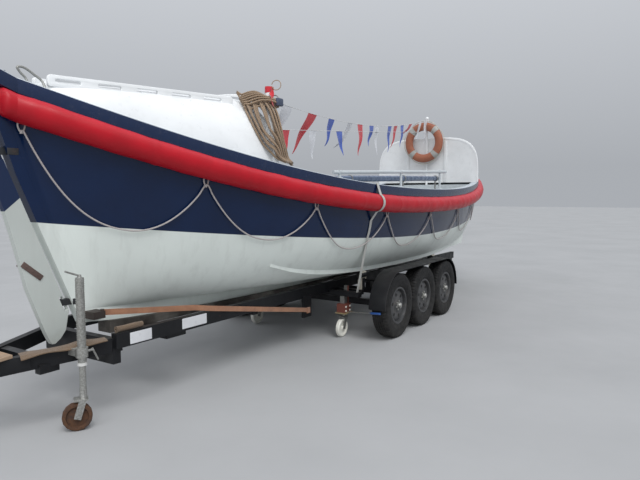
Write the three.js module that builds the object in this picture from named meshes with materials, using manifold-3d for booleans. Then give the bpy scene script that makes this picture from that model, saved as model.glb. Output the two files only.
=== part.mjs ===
// A double-ended pulling and sailing lifeboat, stern first on its road trailer.
// Millimetres, +X towards the bow, +Y to port, +Z up. The ground lies at GROUND_Z of this frame
// and the whole is raised by as much at the end.
import * as THREE from 'three';
import { mergeVertices } from 'three/addons/utils/BufferGeometryUtils.js';
import Module from 'manifold-3d';

const wasm = await Module();
wasm.setup();

// Driving dimensions of the boat, with x = 0 amidships
const HALF_LENGTH = 5145;
const BREADTH = 2400;
const SHEER_MID = 1740;
const SHEER_RISE = { aft: 755, fore: 560 };
const SHEER_POWER = { aft: 2.5, fore: 2.1 };
const PLAN_POWER = { inner: 2.28, outer: 0.92 };
const KEEL_BOTTOM = 517;
const KEEL_DEPTH = 115;
const KEEL_ROCKER = 106;
const KEEL_HALF = 4760;
const KEEL_WIDTH = 90;
const KEEL_PLATE = 88;
const POST_DEPTH = 90;
const POST_RAKE = { aft: 0.42, fore: 0.3 };
const POST_TURN_Z = { aft: 2120, fore: 2000 };
const POST_REACH = { aft: 5250, fore: 5240 };
const POST_HEAD = 30;
const SECTION_MID = { rise: 3.0, turn: 3.2 };
const SECTION_END = { rise: 1.3, turn: 1.1 };
const SECTION_BLEND = 2.2;
const CAP_THICK = 40;
const CAP_INSIDE = 50;
const CAP_OUTSIDE = 60;
const FENDER_R = 102;
const FENDER_DROP = 212;
const FENDER_STANDOFF = 50;
const FENDER_SINK = 60;
const DECK_Z = 1180;
const WALL = 62;
const WELL = { aft: -2940, fore: 2730 };
const GAP = 0.4;

// Driving dimensions of the trailer
const RAIL = { y: 450, width: 60, top: 580, depth: 120, aft: -4620, fore: 3050 };
const CROSS = { top: 482, depth: 62, width: 80 };
const ARM = { rootX: -4550, rootZ: 492, apexZ: 425, width: 60, depth: 112 };
const APEX_X = -5560;
const COUPLING_X = -5950;
const GROUND_Z = -80;
const TYRE = { radius: 394, width: 205, rim: 226, centreY: 1184 };
const AXLE_X = [-1155, -355, 445];
const AXLE_Z = GROUND_Z + TYRE.radius;
const CASTOR = { x: -1455, y: 665, radius: 112, width: 52, trail: 50 };
const JOCKEY = { x: -4897, y: -450, radius: 105, width: 60, trail: 45, turn: 145.9 };

const finish = (color, roughness, metalness = 0) =>
  new THREE.MeshStandardMaterial({ color, roughness, metalness });
const PAINT_BLUE = finish(0x16234f, 0.3);
const PAINT_WHITE = finish(0xe4e7e6, 0.45);
const PAINT_GREY = finish(0xb9bfc1, 0.5);
const CANVAS_RED = finish(0xb3202b, 0.7);
const BLACK_STEEL = finish(0x1b1c1e, 0.5, 0.4);
const ZINC = finish(0x9ea3a5, 0.45, 0.8);
const RUBBER = finish(0x1a1a1b, 0.85);
const ROPE_WHITE = finish(0xd8d8d2, 0.9);
const MANILA = finish(0x8a6a45, 0.95);
const RING_ORANGE = finish(0xc0603a, 0.7);
const WEBBING = finish(0xb98a55, 0.9);
const TIMBER = finish(0x9a7350, 0.8);
const RUSTY = finish(0x6b4534, 0.9, 0.3);
const NYLON = finish(0xe6e6e0, 0.5);
const OAR_BLUE = finish(0x5a6f8e, 0.35);
const CARPET = finish(0x8a6b4f, 1.0);

const boat = new THREE.Group();

// Closed solids and booleans
const solidOf = (geometry) => {
  const bare = geometry.index ? geometry.clone() : geometry;
  bare.deleteAttribute('normal');
  bare.deleteAttribute('uv');
  const merged = mergeVertices(bare, 1e-3);
  return new wasm.Manifold(new wasm.Mesh({
    numProp: 3,
    vertProperties: new Float32Array(merged.attributes.position.array),
    triVerts: new Uint32Array(merged.index.array),
  }));
};
const geometryOf = (solid) => {
  const mesh = solid.getMesh();
  const geometry = new THREE.BufferGeometry();
  geometry.setAttribute('position', new THREE.BufferAttribute(mesh.vertProperties, 3));
  geometry.setIndex(new THREE.BufferAttribute(mesh.triVerts, 1));
  return geometry;
};
const fuse = (...geometries) => geometries.map(solidOf).reduce((a, b) => a.add(b));
const addNode = (name, shape, material, parent = boat) => {
  const geometry = shape.isBufferGeometry ? shape : geometryOf(shape);
  const mesh = new THREE.Mesh(geometry, material);
  mesh.name = name;
  parent.add(mesh);
  return mesh;
};

// Basic forms, each placed by its corners or its two ends
const box = (x0, x1, y0, y1, z0, z1) => new THREE.BoxGeometry(x1 - x0, y1 - y0, z1 - z0)
  .translate((x0 + x1) / 2, (y0 + y1) / 2, (z0 + z1) / 2);
const rod = (from, to, r0, r1 = r0, sides = 12) => {
  const a = new THREE.Vector3(...from);
  const b = new THREE.Vector3(...to);
  const along = b.clone().sub(a);
  const turn = new THREE.Quaternion().setFromUnitVectors(
    new THREE.Vector3(0, 1, 0), along.clone().normalize());
  return new THREE.CylinderGeometry(r1, r0, along.length(), sides)
    .applyQuaternion(turn).translate(...a.add(b).multiplyScalar(0.5).toArray());
};
const beam = (from, to, width, height) => {
  const a = new THREE.Vector3(...from);
  const b = new THREE.Vector3(...to);
  const along = b.clone().sub(a);
  return new THREE.BoxGeometry(along.length(), width, height)
    .rotateY(-Math.asin(along.z / along.length()))
    .rotateZ(Math.atan2(along.y, along.x))
    .translate(...a.add(b).multiplyScalar(0.5).toArray());
};
const tube = (points, radius, sides, steps, closed = false) => {
  const path = new THREE.CatmullRomCurve3(
    points.map((p) => new THREE.Vector3(...p)), closed, 'centripetal');
  const ring = Array.from({ length: sides }, (_, i) => {
    const a = (2 * Math.PI * i) / sides;
    return new THREE.Vector2(radius * Math.cos(a), radius * Math.sin(a));
  });
  return new THREE.ExtrudeGeometry(new THREE.Shape(ring), { steps, extrudePath: path });
};

// A closed skin with its faces turned over where its signed volume is negative
const turned = (geometry) => {
  const index = geometry.index.array;
  for (let i = 0; i < index.length; i += 3) {
    [index[i], index[i + 1]] = [index[i + 1], index[i]];
  }
  return geometry;
};
const facingOut = (geometry) => {
  const position = geometry.attributes.position;
  const index = geometry.index.array;
  const [a, b, c] = [0, 1, 2].map(() => new THREE.Vector3());
  let volume = 0;
  for (let i = 0; i < index.length; i += 3) {
    a.fromBufferAttribute(position, index[i]);
    b.fromBufferAttribute(position, index[i + 1]);
    c.fromBufferAttribute(position, index[i + 2]);
    volume += a.dot(b.cross(c));
  }
  return volume < 0 ? turned(geometry) : geometry;
};
const lathe = (profile, sides) => facingOut(
  new THREE.LatheGeometry(profile.map(([r, y]) => new THREE.Vector2(r, y)), sides));

// Skin over rings of equal point counts, always facing out. An even ring is closed by a ladder
// between its two halves, an odd one by a fan.
const loft = (rings) => {
  const count = rings[0].length;
  const at = (r, i) => r * count + ((i + count) % count);
  const points = rings.flat();
  const faces = [];
  for (let r = 0; r + 1 < rings.length; r += 1) {
    for (let i = 0; i < count; i += 1) {
      faces.push(at(r, i), at(r, i + 1), at(r + 1, i + 1), at(r, i), at(r + 1, i + 1), at(r + 1, i));
    }
  }
  [0, rings.length - 1].forEach((r, end) => {
    const put = (i, j, k) => faces.push(...(end ? [i, j, k] : [i, k, j]));
    if (count % 2 === 0) {
      for (let i = 0; i + 1 < count / 2; i += 1) {
        put(at(r, i), at(r, i + 1), at(r, count - 2 - i));
        put(at(r, i), at(r, count - 2 - i), at(r, count - 1 - i));
      }
      return;
    }
    points.push([0, 1, 2].map((k) => rings[r].reduce((sum, p) => sum + p[k], 0) / count));
    for (let i = 0; i < count; i += 1) put(points.length - 1, at(r, i), at(r, i + 1));
  });
  const geometry = new THREE.BufferGeometry();
  geometry.setAttribute('position', new THREE.Float32BufferAttribute(points.flat(), 3));
  geometry.setIndex(faces);
  return facingOut(geometry);
};
const mirrorY = (geometry) => turned(geometry.clone().scale(1, -1, 1));
const span = (from, to, count) =>
  Array.from({ length: count + 1 }, (_, i) => from + ((to - from) * i) / count);

// Hull form: sheer, plan curve, keel line, posts and sections as formulas of t = x / half length
const endOf = (t) => (t < 0 ? 'aft' : 'fore');
const sheerZ = (x) => {
  const t = Math.min(1, Math.abs(x) / HALF_LENGTH);
  return SHEER_MID + SHEER_RISE[endOf(x)] * t ** SHEER_POWER[endOf(x)];
};
const planHalf = (x) => {
  const t = Math.min(1, Math.abs(x) / HALF_LENGTH);
  return Math.max(KEEL_WIDTH / 2,
    (BREADTH / 2) * (1 - t ** PLAN_POWER.inner) ** PLAN_POWER.outer);
};
const keelZ = (x) => KEEL_BOTTOM + KEEL_ROCKER * Math.abs(x / KEEL_HALF) ** 3;
const heelZ = (t) => keelZ(t * HALF_LENGTH * 0.9) + KEEL_DEPTH;
const keelFloor = (x) => heelZ(x / HALF_LENGTH) - KEEL_DEPTH;
const softPlus = (d) => (d + Math.sqrt(d * d + 200 * 200)) / 2;
const postFaceX = (end, z) =>
  (end === 'aft' ? -1 : 1) * (POST_REACH[end] - POST_RAKE[end] * softPlus(POST_TURN_Z[end] - z));
const hullEndX = (end, z) => postFaceX(end, z) + (end === 'aft' ? POST_DEPTH : -POST_DEPTH);
const hullX = (t, z) => {
  const x = t * HALF_LENGTH;
  const end = endOf(t);
  return x + Math.abs(t) ** 6 * (hullEndX(end, z) - hullEndX(end, sheerZ(x) - CAP_THICK));
};
const hullFill = (t, u) => {
  const w = Math.abs(t) ** SECTION_BLEND;
  const rise = SECTION_MID.rise + (SECTION_END.rise - SECTION_MID.rise) * w;
  const turn = SECTION_MID.turn + (SECTION_END.turn - SECTION_MID.turn) * w;
  return (1 - (1 - u) ** rise) ** (1 / turn);
};
const hullHalf = (t, z) => {
  const x = t * HALF_LENGTH;
  const low = heelZ(t);
  const u = Math.min(1, Math.max(0, (z - low) / (sheerZ(x) - low)));
  const half = KEEL_WIDTH / 2;
  return half + (planHalf(x) - half) * hullFill(t, u);
};
const hullHalfAt = (x, z) => {
  let [low, high] = [-1, 1];
  for (let i = 0; i < 30; i += 1) {
    const mid = (low + high) / 2;
    if (hullX(mid, z) < x) low = mid; else high = mid;
  }
  return hullHalf((low + high) / 2, z);
};

// Stations close up towards the ends
const STATIONS = span(-1, 1, 28).map((s) => Math.sin((s * Math.PI) / 2));
const LEVELS = [0, 0.03, 0.08, 0.16, 0.28, 0.44, 0.62, 0.8, 1];

// Top of the planking at x, on the straight run between two stations
const seatZ = (x) => {
  const beyond = STATIONS.findIndex((t) => t * HALF_LENGTH > x);
  const i = beyond < 0 ? STATIONS.length - 2 : Math.max(0, beyond - 1);
  const [x0, x1] = [STATIONS[i] * HALF_LENGTH, STATIONS[i + 1] * HALF_LENGTH];
  return sheerZ(x0) + ((sheerZ(x1) - sheerZ(x0)) * (x - x0)) / (x1 - x0) - CAP_THICK;
};

// Height at which a foot of radius r stands on the capping
const capTop = (x, r) => Math.max(seatZ(x - r), seatZ(x + r)) + CAP_THICK + GAP;

// Underside of the keel at x, on the straight run between two stations
const seatedKeel = (x) => {
  const at = (t) => [hullX(t, heelZ(t)), heelZ(t) - KEEL_DEPTH];
  const i = Math.max(1, STATIONS.findIndex((t) => at(t)[0] > x));
  const [[x0, z0], [x1, z1]] = [at(STATIONS[i - 1]), at(STATIONS[i])];
  return z0 + ((z1 - z0) * (x - x0)) / (x1 - x0);
};

const hullRing = (t) => {
  const x = t * HALF_LENGTH;
  const low = heelZ(t);
  const high = sheerZ(x) - CAP_THICK;
  const side = LEVELS.map((u) => {
    const z = low + u * (high - low);
    return [hullX(t, z), hullHalf(t, z), z];
  });
  return [...side, ...side.map(([px, py, pz]) => [px, -py, pz]).reverse()];
};
const hullShell = solidOf(loft(STATIONS.map(hullRing)));
const wellHalf = (x, z) => {
  const top = hullHalf(x / HALF_LENGTH, sheerZ(x)) - WALL;
  const low = hullHalf(x / HALF_LENGTH, DECK_Z) - WALL;
  return low + ((top - low) * (z - DECK_Z)) / (sheerZ(x) - CAP_THICK - DECK_Z);
};
const wellRing = (x) => {
  const top = wellHalf(x, sheerZ(x) - CAP_THICK);
  const low = wellHalf(x, DECK_Z);
  return [[x, low, DECK_Z], [x, top, sheerZ(x) - CAP_THICK], [x, top, 2600],
    [x, -top, 2600], [x, -top, sheerZ(x) - CAP_THICK], [x, -low, DECK_Z]];
};
const well = solidOf(loft(span(WELL.aft, WELL.fore, 14).map(wellRing)));
const opened = hullShell.subtract(well);
const aboveDeck = (inset, y0, y1) => solidOf(box(WELL.aft + inset, WELL.fore - inset, y0, y1,
  DECK_Z + inset, 2600));
const hullSolid = opened.subtract(aboveDeck(0, -BREADTH, BREADTH));
addNode('hull', hullSolid, PAINT_BLUE);
addNode('topside_port', opened.intersect(aboveDeck(GAP, 200, BREADTH)), PAINT_BLUE);
addNode('topside_starboard', opened.intersect(aboveDeck(GAP, -BREADTH, -200)), PAINT_BLUE);

// Half breadth over the planking at x and z, and the skin's slope there, met by a ray from port
const hullMesh = new THREE.Mesh(geometryOf(hullShell), PAINT_BLUE);
const skinAt = (x, z) => {
  const ray = new THREE.Raycaster(new THREE.Vector3(x, BREADTH, z), new THREE.Vector3(0, -1, 0));
  const [hit] = ray.intersectObject(hullMesh);
  return { y: hit.point.y, slope: hit.face.normal.y };
};

// Keel, sternpost and stem in one curved plane, following the hull's own stations and levels
const keelPlate = () => {
  const heights = (end) => {
    const side = end === 'aft' ? -1 : 1;
    const top = sheerZ(side * HALF_LENGTH);
    const low = heelZ(side);
    return [top + POST_HEAD, ...LEVELS.map((u) => low + u * (top - CAP_THICK - low)).reverse()];
  };
  const gapX = (end) => (end === 'aft' ? -GAP : GAP);
  const inside = (end) => heights(end)
    .map((z) => [hullX(end === 'aft' ? -1 : 1, z) + gapX(end), z]);
  const outside = (end) => [...heights(end), heelZ(1) - KEEL_DEPTH]
    .map((z) => [postFaceX(end, z), z]);
  const bottom = STATIONS.slice(1, -1).map((t) => [hullX(t, heelZ(t)), heelZ(t)]);
  const shape = new THREE.Shape([
    ...inside('aft').map(([x, z], i, all) => [x, i === all.length - 1 ? z - GAP : z]),
    ...bottom.map(([x, z]) => [x, z - GAP]),
    ...inside('fore').map(([x, z], i, all) => [x, i === all.length - 1 ? z - GAP : z]).reverse(),
    ...outside('fore'),
    ...bottom.slice(1, -1).reverse().map(([x, z]) => [x, z - KEEL_DEPTH]),
    ...outside('aft').reverse(),
  ].map(([x, z]) => new THREE.Vector2(x, z)));
  return new THREE.ExtrudeGeometry(shape, { depth: KEEL_PLATE, bevelEnabled: false })
    .rotateX(Math.PI / 2).translate(0, KEEL_PLATE / 2, 0);
};
// A strip carried along the side of the hull: the section at x gives [outward, up] from the
// sheer edge
const stationsWithin = (reach) => [-reach,
  ...STATIONS.map((t) => t * HALF_LENGTH).filter((x) => Math.abs(x) < reach - 20), reach];
const sideStrip = (reach, sectionAt) => loft(stationsWithin(reach).map((x) => {
  const step = 4;
  const slope = (planHalf(x + step) - planHalf(x - step)) / (2 * step);
  const run = Math.hypot(1, slope);
  return sectionAt(x).map(([out, up]) => {
    const px = x - (slope / run) * out;
    return [px, Math.max(KEEL_WIDTH / 2 + 1, planHalf(x) + out / run), seatZ(px) + CAP_THICK + up];
  });
}));
const capSection = () => [[-CAP_INSIDE, -CAP_THICK + GAP], [CAP_OUTSIDE, -CAP_THICK + GAP],
  [CAP_OUTSIDE, 0], [-CAP_INSIDE, 0]];
const fenderSection = (x) => {
  const ending = Math.max(0, (Math.abs(x) - 4850) / 375);
  const centre = FENDER_STANDOFF - 44 * ending ** 2;
  const arc = span(-110, 110, 8).map((deg) => (deg * Math.PI) / 180).map((a) => [
    centre + FENDER_R * Math.cos(a), -FENDER_DROP + FENDER_R * Math.sin(a)]);
  return [[-FENDER_SINK, -FENDER_DROP - FENDER_R / 2], ...arc,
    [-FENDER_SINK, -FENDER_DROP + FENDER_R / 2]];
};
const STRIP_REACH = 5225;
const SIDES = [['port', 1], ['starboard', -1]];
SIDES.forEach(([name, side]) => {
  const cap = sideStrip(STRIP_REACH, capSection);
  addNode(`gunwale_${name}`, side > 0 ? cap : mirrorY(cap), PAINT_GREY);
  const fender = sideStrip(STRIP_REACH, fenderSection);
  addNode(`fender_${name}`, solidOf(side > 0 ? fender : mirrorY(fender))
    .subtract(hullShell).translate([0, side * GAP, 0]), CANVAS_RED);
});

// End boxes: arched air cases with a raised rim at the bulkhead and a slotted grab rail each side
const RIM = { length: 45, over: 3 };
const END_BOXES = [
  // end tip x, bulkhead x, top z at the tip and at the bulkhead, inset from the planking at the
  // tip and at the bulkhead, rise of the base over the planking, rim's growth, powers of the
  // roof's and the rim's arch, and the grab rail's middle under the crown at its two ends
  { name: 'aft_end_box', tip: -4870, bulkhead: -3000, tipTop: 2505, top: 2640,
    inset: [60, 60], base: GAP, rim: [25, 25], power: [2.4, 3], rail: [88, 6] },
  { name: 'fore_end_box', tip: 4900, bulkhead: 2790, tipTop: 2440, top: 2700,
    inset: [60, -48], base: CAP_THICK + GAP, rim: [29, 38], power: [4, 4], rail: [-8, -2] },
];
const archPoint = (x, deg, base, half, top, power) => {
  const a = (deg * Math.PI) / 180;
  const c = Math.cos(a);
  const s = Math.max(0, Math.sin(a));
  return [x, Math.sign(c) * half * Math.abs(c) ** (2 / power), base + (top - base) * s ** (2 / power)];
};
const archRing = (...arch) => span(0, 180, 14).map((deg) => archPoint(arch[0], deg, ...arch.slice(1)));
const alongBox = (end, x, [atTip, atBulkhead]) =>
  atTip + ((atBulkhead - atTip) * (x - end.tip)) / (end.bulkhead - end.tip);
const roofZ = (end, x) => alongBox(end, x, [end.tipTop, end.top]);
const boxArch = (end, x) => [seatZ(x) + end.base, planHalf(x) - alongBox(end, x, end.inset),
  roofZ(end, x), end.power[0]];
const rimArch = (end, x) => [seatZ(x) + CAP_THICK + 6, planHalf(x) - end.inset[1] + end.rim[0],
  roofZ(end, x) + end.rim[1], end.power[1]];
const BOX_RAIL = { bulkhead: [240, 465], tip: [-2, 90], height: 90, slots: 5 };
const boxSolids = END_BOXES.map((end) => {
  const { name, tip, bulkhead } = end;
  const inward = Math.sign(tip);
  const [near, far] = [tip, bulkhead].sort((a, b) => a - b);
  const stations = [near, ...STATIONS.map((t) => t * HALF_LENGTH)
    .filter((x) => x > near + 20 && x < far - 20), far];
  const body = loft(stations.map((x) => archRing(x, ...boxArch(end, x))));
  const rim = loft([bulkhead + inward * RIM.length, bulkhead - inward * RIM.over]
    .map((x) => archRing(x, ...rimArch(end, x))));
  let solid = solidOf(body).add(solidOf(rim));
  SIDES.forEach(([, side]) => {
    const corner = (x, y, drop) => [x, side * y, roofZ(end, x) - drop];
    const from = corner(bulkhead + inward * BOX_RAIL.bulkhead[0], BOX_RAIL.bulkhead[1], end.rail[0]);
    const to = corner(tip + inward * BOX_RAIL.tip[0], BOX_RAIL.tip[1], end.rail[1]);
    solid = solid.add(solidOf(beam(from, to, 32, BOX_RAIL.height)));
    const at = (f) => from.map((v, k) => v + (to[k] - v) * f + (k === 2 ? 2 : 0));
    for (let i = 0; i < BOX_RAIL.slots; i += 1) {
      const f = 0.133 + 0.194 * i;
      solid = solid.subtract(solidOf(beam(at(f - 0.057), at(f + 0.057), 60, 28)));
    }
  });
  addNode(name, solid, PAINT_WHITE);
  return solid;
});

// Thwarts on a riser along each side of the well
const THWART_TOP = 1530;
const THWARTS_X = [-2200, -1250, -300, 650, 1600];
const RISER = { width: 30, depth: 90 };
const riser = (side) => {
  const ring = (x) => {
    const y = wellHalf(x, THWART_TOP - 40 - RISER.depth) - 6;
    return [[x, side * y, THWART_TOP - 40], [x, side * (y - RISER.width), THWART_TOP - 40],
      [x, side * (y - RISER.width), THWART_TOP - 40 - RISER.depth],
      [x, side * y, THWART_TOP - 40 - RISER.depth]];
  };
  return loft(span(THWARTS_X[0] - 250, THWARTS_X[4] + 250, 8).map(ring));
};
const thwartBoards = THWARTS_X.map((x) => {
  const half = wellHalf(Math.abs(x) + 100, THWART_TOP - 45) - 8;
  return box(x - 100, x + 100, -half, half, THWART_TOP - 45, THWART_TOP);
});
const pillars = THWARTS_X.map((x) => box(x - 30, x + 30, -30, 30, DECK_Z + GAP, THWART_TOP - 20));
addNode('thwarts', fuse(riser(1), riser(-1), ...thwartBoards, ...pillars), TIMBER);

// Bilge keels on the turn of the bottom
const BILGE = { y: 810, inward: 139, reach: 2300, tip: 2950, width: 46 };
const bilgeRing = (x) => {
  const y = BILGE.y - BILGE.inward * (Math.abs(x) / BILGE.tip) ** 2;
  const t = x / HALF_LENGTH;
  let z = keelZ(x);
  while (hullHalf(t, z) < y + BILGE.width / 2) z += 2;
  const fade = Math.abs(x) > BILGE.reach
    ? 1 - (Math.abs(x) - BILGE.reach) / (BILGE.tip - BILGE.reach) : 1;
  const low = z - 34 - 20 * fade;
  return [[x, y + 20, z + 8], [x, y - 23, z - 22], [x, y - 23, low], [x, y + 15, low]];
};
const BILGE_STATIONS = span(-BILGE.tip, BILGE.tip, 20);
const bilgeLow = (x) => {
  const i = BILGE_STATIONS.findIndex((at) => at > x);
  const [x0, x1] = [BILGE_STATIONS[i - 1], BILGE_STATIONS[i]];
  const [z0, z1] = [x0, x1].map((at) => bilgeRing(at)[2][2]);
  return z0 + ((z1 - z0) * (x - x0)) / (x1 - x0);
};
const bilgeBar = loft(BILGE_STATIONS.map(bilgeRing));
SIDES.forEach(([name, side]) => {
  const bar = solidOf(side > 0 ? bilgeBar : mirrorY(bilgeBar));
  addNode(`bilge_keel_${name}`,
    bar.subtract(hullShell).translate([0, (side * GAP) / 2, -GAP]), PAINT_WHITE);
});

// Rudder on pintles along the raked sternpost
const RUDDER_THICK = 52;
const HINGE_LOW_Z = 750;
const HINGE_HIGH_Z = 2030;
const HINGE_OFFSET = 48;
const hingeX = (z) => {
  const low = postFaceX('aft', HINGE_LOW_Z);
  const high = postFaceX('aft', HINGE_HIGH_Z);
  return low + ((high - low) * (z - HINGE_LOW_Z)) / (HINGE_HIGH_Z - HINGE_LOW_Z) - HINGE_OFFSET;
};
const RUDDER_OUTLINE = [
  // z, distance of the leading edge and of the trailing edge behind the hinge line
  [2420, 12, 118], [2150, -8, 128], [1800, 0, 138], [1541, 0, 153], [1359, 0, 177],
  [1157, 0, 208], [943, 0, 246], [728, 0, 254], [690, 28, 256], [578, 95, 258], [520, 165, 255],
  [488, 224, 248],
];
const rudderShape = new THREE.Shape([
  ...RUDDER_OUTLINE.map(([z, lead]) => new THREE.Vector2(hingeX(z) - lead, z)),
  ...[...RUDDER_OUTLINE].reverse().map(([z, , trail]) => new THREE.Vector2(hingeX(z) - trail, z)),
]);
const rudderBlade = new THREE.ExtrudeGeometry(rudderShape,
  { depth: RUDDER_THICK, bevelEnabled: false })
  .rotateX(Math.PI / 2).translate(0, RUDDER_THICK / 2, 0);
const GUDGEON_Z = [800, 1960];
const LUG = { half: 26, width: 20, notch: 58, depth: 36, bore: 11, pin: 10 };
const onHinge = (z) => [hingeX(z), 0, z];
const rudder = GUDGEON_Z.reduce((blade, z) => blade
  .subtract(solidOf(beam(onHinge(z - LUG.notch), onHinge(z + LUG.notch), 80, 2 * LUG.depth)))
  .add(solidOf(rod(onHinge(z - LUG.notch - 12), onHinge(z + LUG.notch + 12), LUG.pin))),
solidOf(rudderBlade));
addNode('rudder', rudder, PAINT_WHITE);
const headX = hingeX(2420) - 80;
addNode('rudder_yoke', fuse(
  box(headX - 45, headX + 45, -230, 230, 2420 + GAP, 2450),
  rod([headX, 0, 2440], [headX, 0, 2475], 40),
), RUSTY);
const keelAndPosts = GUDGEON_Z.reduce((post, z) => post.add(
  solidOf(box(hingeX(z) - 22, hingeX(z) + 90, -LUG.width, LUG.width, z - LUG.half, z + LUG.half))
    .subtract(solidOf(rod(onHinge(z - 60), onHinge(z + 60), LUG.bore, LUG.bore, 16)))),
solidOf(keelPlate()));
addNode('keel_and_posts', keelAndPosts, PAINT_WHITE);

// Stern grab hoop, the two bunting posts
const HOOP_R = 9;
const HOOP = [
  // x, y, height above the planking's top
  [-4885, -105, 46.3], [-4899, -80, 118], [-4950, -66, 142], [-5018, -60, 156], [-5070, -60, 134],
  [-5052, -62, 106], [-5018, -68, 84], [-5008, -76, 49.6],
];
addNode('stern_hoop', tube(HOOP.map(([x, y, up]) => [x, y, seatZ(x) + up]), HOOP_R, 8, 14), ZINC);
const AFT_POST = { x: -2941.6, y: -670, low: 2270, top: 2700, r: 55, tip: 38, lean: 16 };
addNode('aft_post', rod([AFT_POST.x, AFT_POST.y, AFT_POST.low],
  [AFT_POST.x + AFT_POST.lean, AFT_POST.y, AFT_POST.top], AFT_POST.r, AFT_POST.tip, 16), PAINT_WHITE);
const FORE_POST = { x: 2764, y: -20, top: 3090, r: 22, finial: 32 };
addNode('fore_post', fuse(
  rod([FORE_POST.x, FORE_POST.y, seatZ(FORE_POST.x + FORE_POST.r) + GAP],
    [FORE_POST.x, FORE_POST.y, FORE_POST.top], FORE_POST.r, FORE_POST.r),
  new THREE.SphereGeometry(FORE_POST.finial, 12, 8)
    .translate(FORE_POST.x - 10, FORE_POST.y, FORE_POST.top + 12),
), PAINT_WHITE);

const SIDE_RAIL = { from: -2295, to: 593, z0: 1890, z1: 1995, inset: 5 };
SIDES.forEach(([name, side]) => {
  const y = (x) => side * (planHalf(x) - SIDE_RAIL.inset);
  const z = (x) => SIDE_RAIL.z0
    + ((SIDE_RAIL.z1 - SIDE_RAIL.z0) * (x - SIDE_RAIL.from)) / (SIDE_RAIL.to - SIDE_RAIL.from);
  const bar = span(SIDE_RAIL.from, SIDE_RAIL.to, 3);
  const legs = [SIDE_RAIL.from + 105, -930, 350].map((x) =>
    rod([x, y(x), capTop(x, 16)], [x, y(x), z(x)], 16, 16, 8));
  addNode(`side_rail_${name}`, fuse(
    ...bar.slice(1).map((x, i) => rod([bar[i] - 4, y(bar[i]), z(bar[i])], [x, y(x), z(x)], 20, 20, 8)),
    ...legs), PAINT_GREY);
});

// Life line along each side: a rope hung in loops from eye to eye under the fender
const LIFE_LINE = { r: 9, sides: 6, eyeDrop: 350, atEye: 0.2, standoff: 8, flare: 18 };
const EYES_X = [-5060, -3780, -2550, -1280, 0, 1280, 2550, 3780, 5040];
const DIPS = [550, 400, 415, 400, 400, 400, 400, 480];
const TIE_X = -1600;
const overTie = (x) => 9 * Math.exp(-(((x - TIE_X) / 160) ** 2));
const besideHull = (x, z, clear) => {
  const { y, slope } = skinAt(x, z);
  return y + (LIFE_LINE.r + clear) / slope;
};
const ropeY = (x, z) => besideHull(x, z, LIFE_LINE.standoff
  + LIFE_LINE.flare * Math.abs(x / HALF_LENGTH) ** 3 + overTie(x));
const eyeZ = (x) => sheerZ(x) - LIFE_LINE.eyeDrop;
const atEye = (x) => [x, besideHull(x, eyeZ(x), LIFE_LINE.atEye), eyeZ(x)];
const loopPoints = EYES_X.slice(1).flatMap((x1, i) => {
  const x0 = EYES_X[i];
  return [atEye(x0), ...[0.1, 0.3, 0.5, 0.7, 0.9].map((f) => {
    const x = x0 + (x1 - x0) * f;
    const z = eyeZ(x0) + (eyeZ(x1) - eyeZ(x0)) * f - DIPS[i] * (1 - (2 * f - 1) ** 2);
    return [x, ropeY(x, z), z];
  })];
});
SIDES.forEach(([name, side]) => {
  const line = [...loopPoints, atEye(EYES_X[EYES_X.length - 1])].map(([x, y, z]) => [x, side * y, z]);
  addNode(`life_line_${name}`, tube(line, LIFE_LINE.r, LIFE_LINE.sides, 96), ROPE_WHITE);
});

// Manila hank over the starboard shoulder of the aft box's rim, and the life ring hung against
// the fore post
const AFT_BOX = END_BOXES[0];
const HANK = { thick: 52, bend: -3048, clear: 1.2, right: -2900 };
const HANK_ROWS = [
  // degrees up the arch, x of the left edge
  [62, -3150], [54, -3215], [45, -3220], [35, -3225], [20, -3255], [10, -3220], [5, -3175],
];
const HANK_FOOT = [
  // y, z, x of the left edge
  [-878, 2012, -3115], [-908, 1962, -3020],
];
const hankRow = ([deg, left]) => {
  const edge = (x, arch, grow) => {
    const [base, half, top, power] = arch;
    const [, y, z] = archPoint(x, deg, base, half + grow, top + grow, power);
    return [x, -y, z];
  };
  const outside = ([x, y, z], thick) => [x, Math.min(y, -(AFT_POST.r - AFT_POST.y) - 3 - thick), z];
  const rim = rimArch(AFT_BOX, AFT_BOX.bulkhead);
  const body = boxArch(AFT_BOX, left);
  const right = (grow) => (deg > 50 ? edge(HANK.right, rim, grow)
    : outside(edge(HANK.right, rim, grow), grow));
  const [low, high] = [HANK.clear, HANK.clear + HANK.thick];
  return [edge(left, body, low), edge(HANK.bend, rim, low), right(low), right(high),
    edge(HANK.bend, rim, high), edge(left, body, high)];
};
const hankFoot = ([y, z, left]) => [[left, y, z], [(left + HANK.right) / 2, y, z], [HANK.right, y, z],
  [HANK.right, y - HANK.thick, z], [(left + HANK.right) / 2, y - HANK.thick, z],
  [left, y - HANK.thick, z]];
const postClear = rod([AFT_POST.x, AFT_POST.y, 2200], [AFT_POST.x + AFT_POST.lean, AFT_POST.y, 2800],
  AFT_POST.r + 1, AFT_POST.r + 1, 16);
const hankBundle = solidOf(loft([...HANK_ROWS.map(hankRow), ...HANK_FOOT.map(hankFoot)]));
addNode('rope_hank', [[0, 0, 0], [0, -GAP, 0], [0, 0, GAP], [GAP, 0, 0], [-GAP, 0, 0]].reduce(
  (bundle, move) => bundle.subtract(boxSolids[0].translate(move)),
  hankBundle.subtract(solidOf(postClear))), MANILA);
const LIFE_RING = { mean: 298, width: 76, thick: 50, y: 12, z: 2650 };
const ringProfile = Array.from({ length: 10 }, (_, i) => {
  const a = (i * Math.PI) / 5;
  return [LIFE_RING.mean + LIFE_RING.width * Math.cos(a), LIFE_RING.thick * Math.sin(a)];
});
const ringReach = LIFE_RING.thick * Math.sin((2 * Math.PI) / 5);
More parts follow.
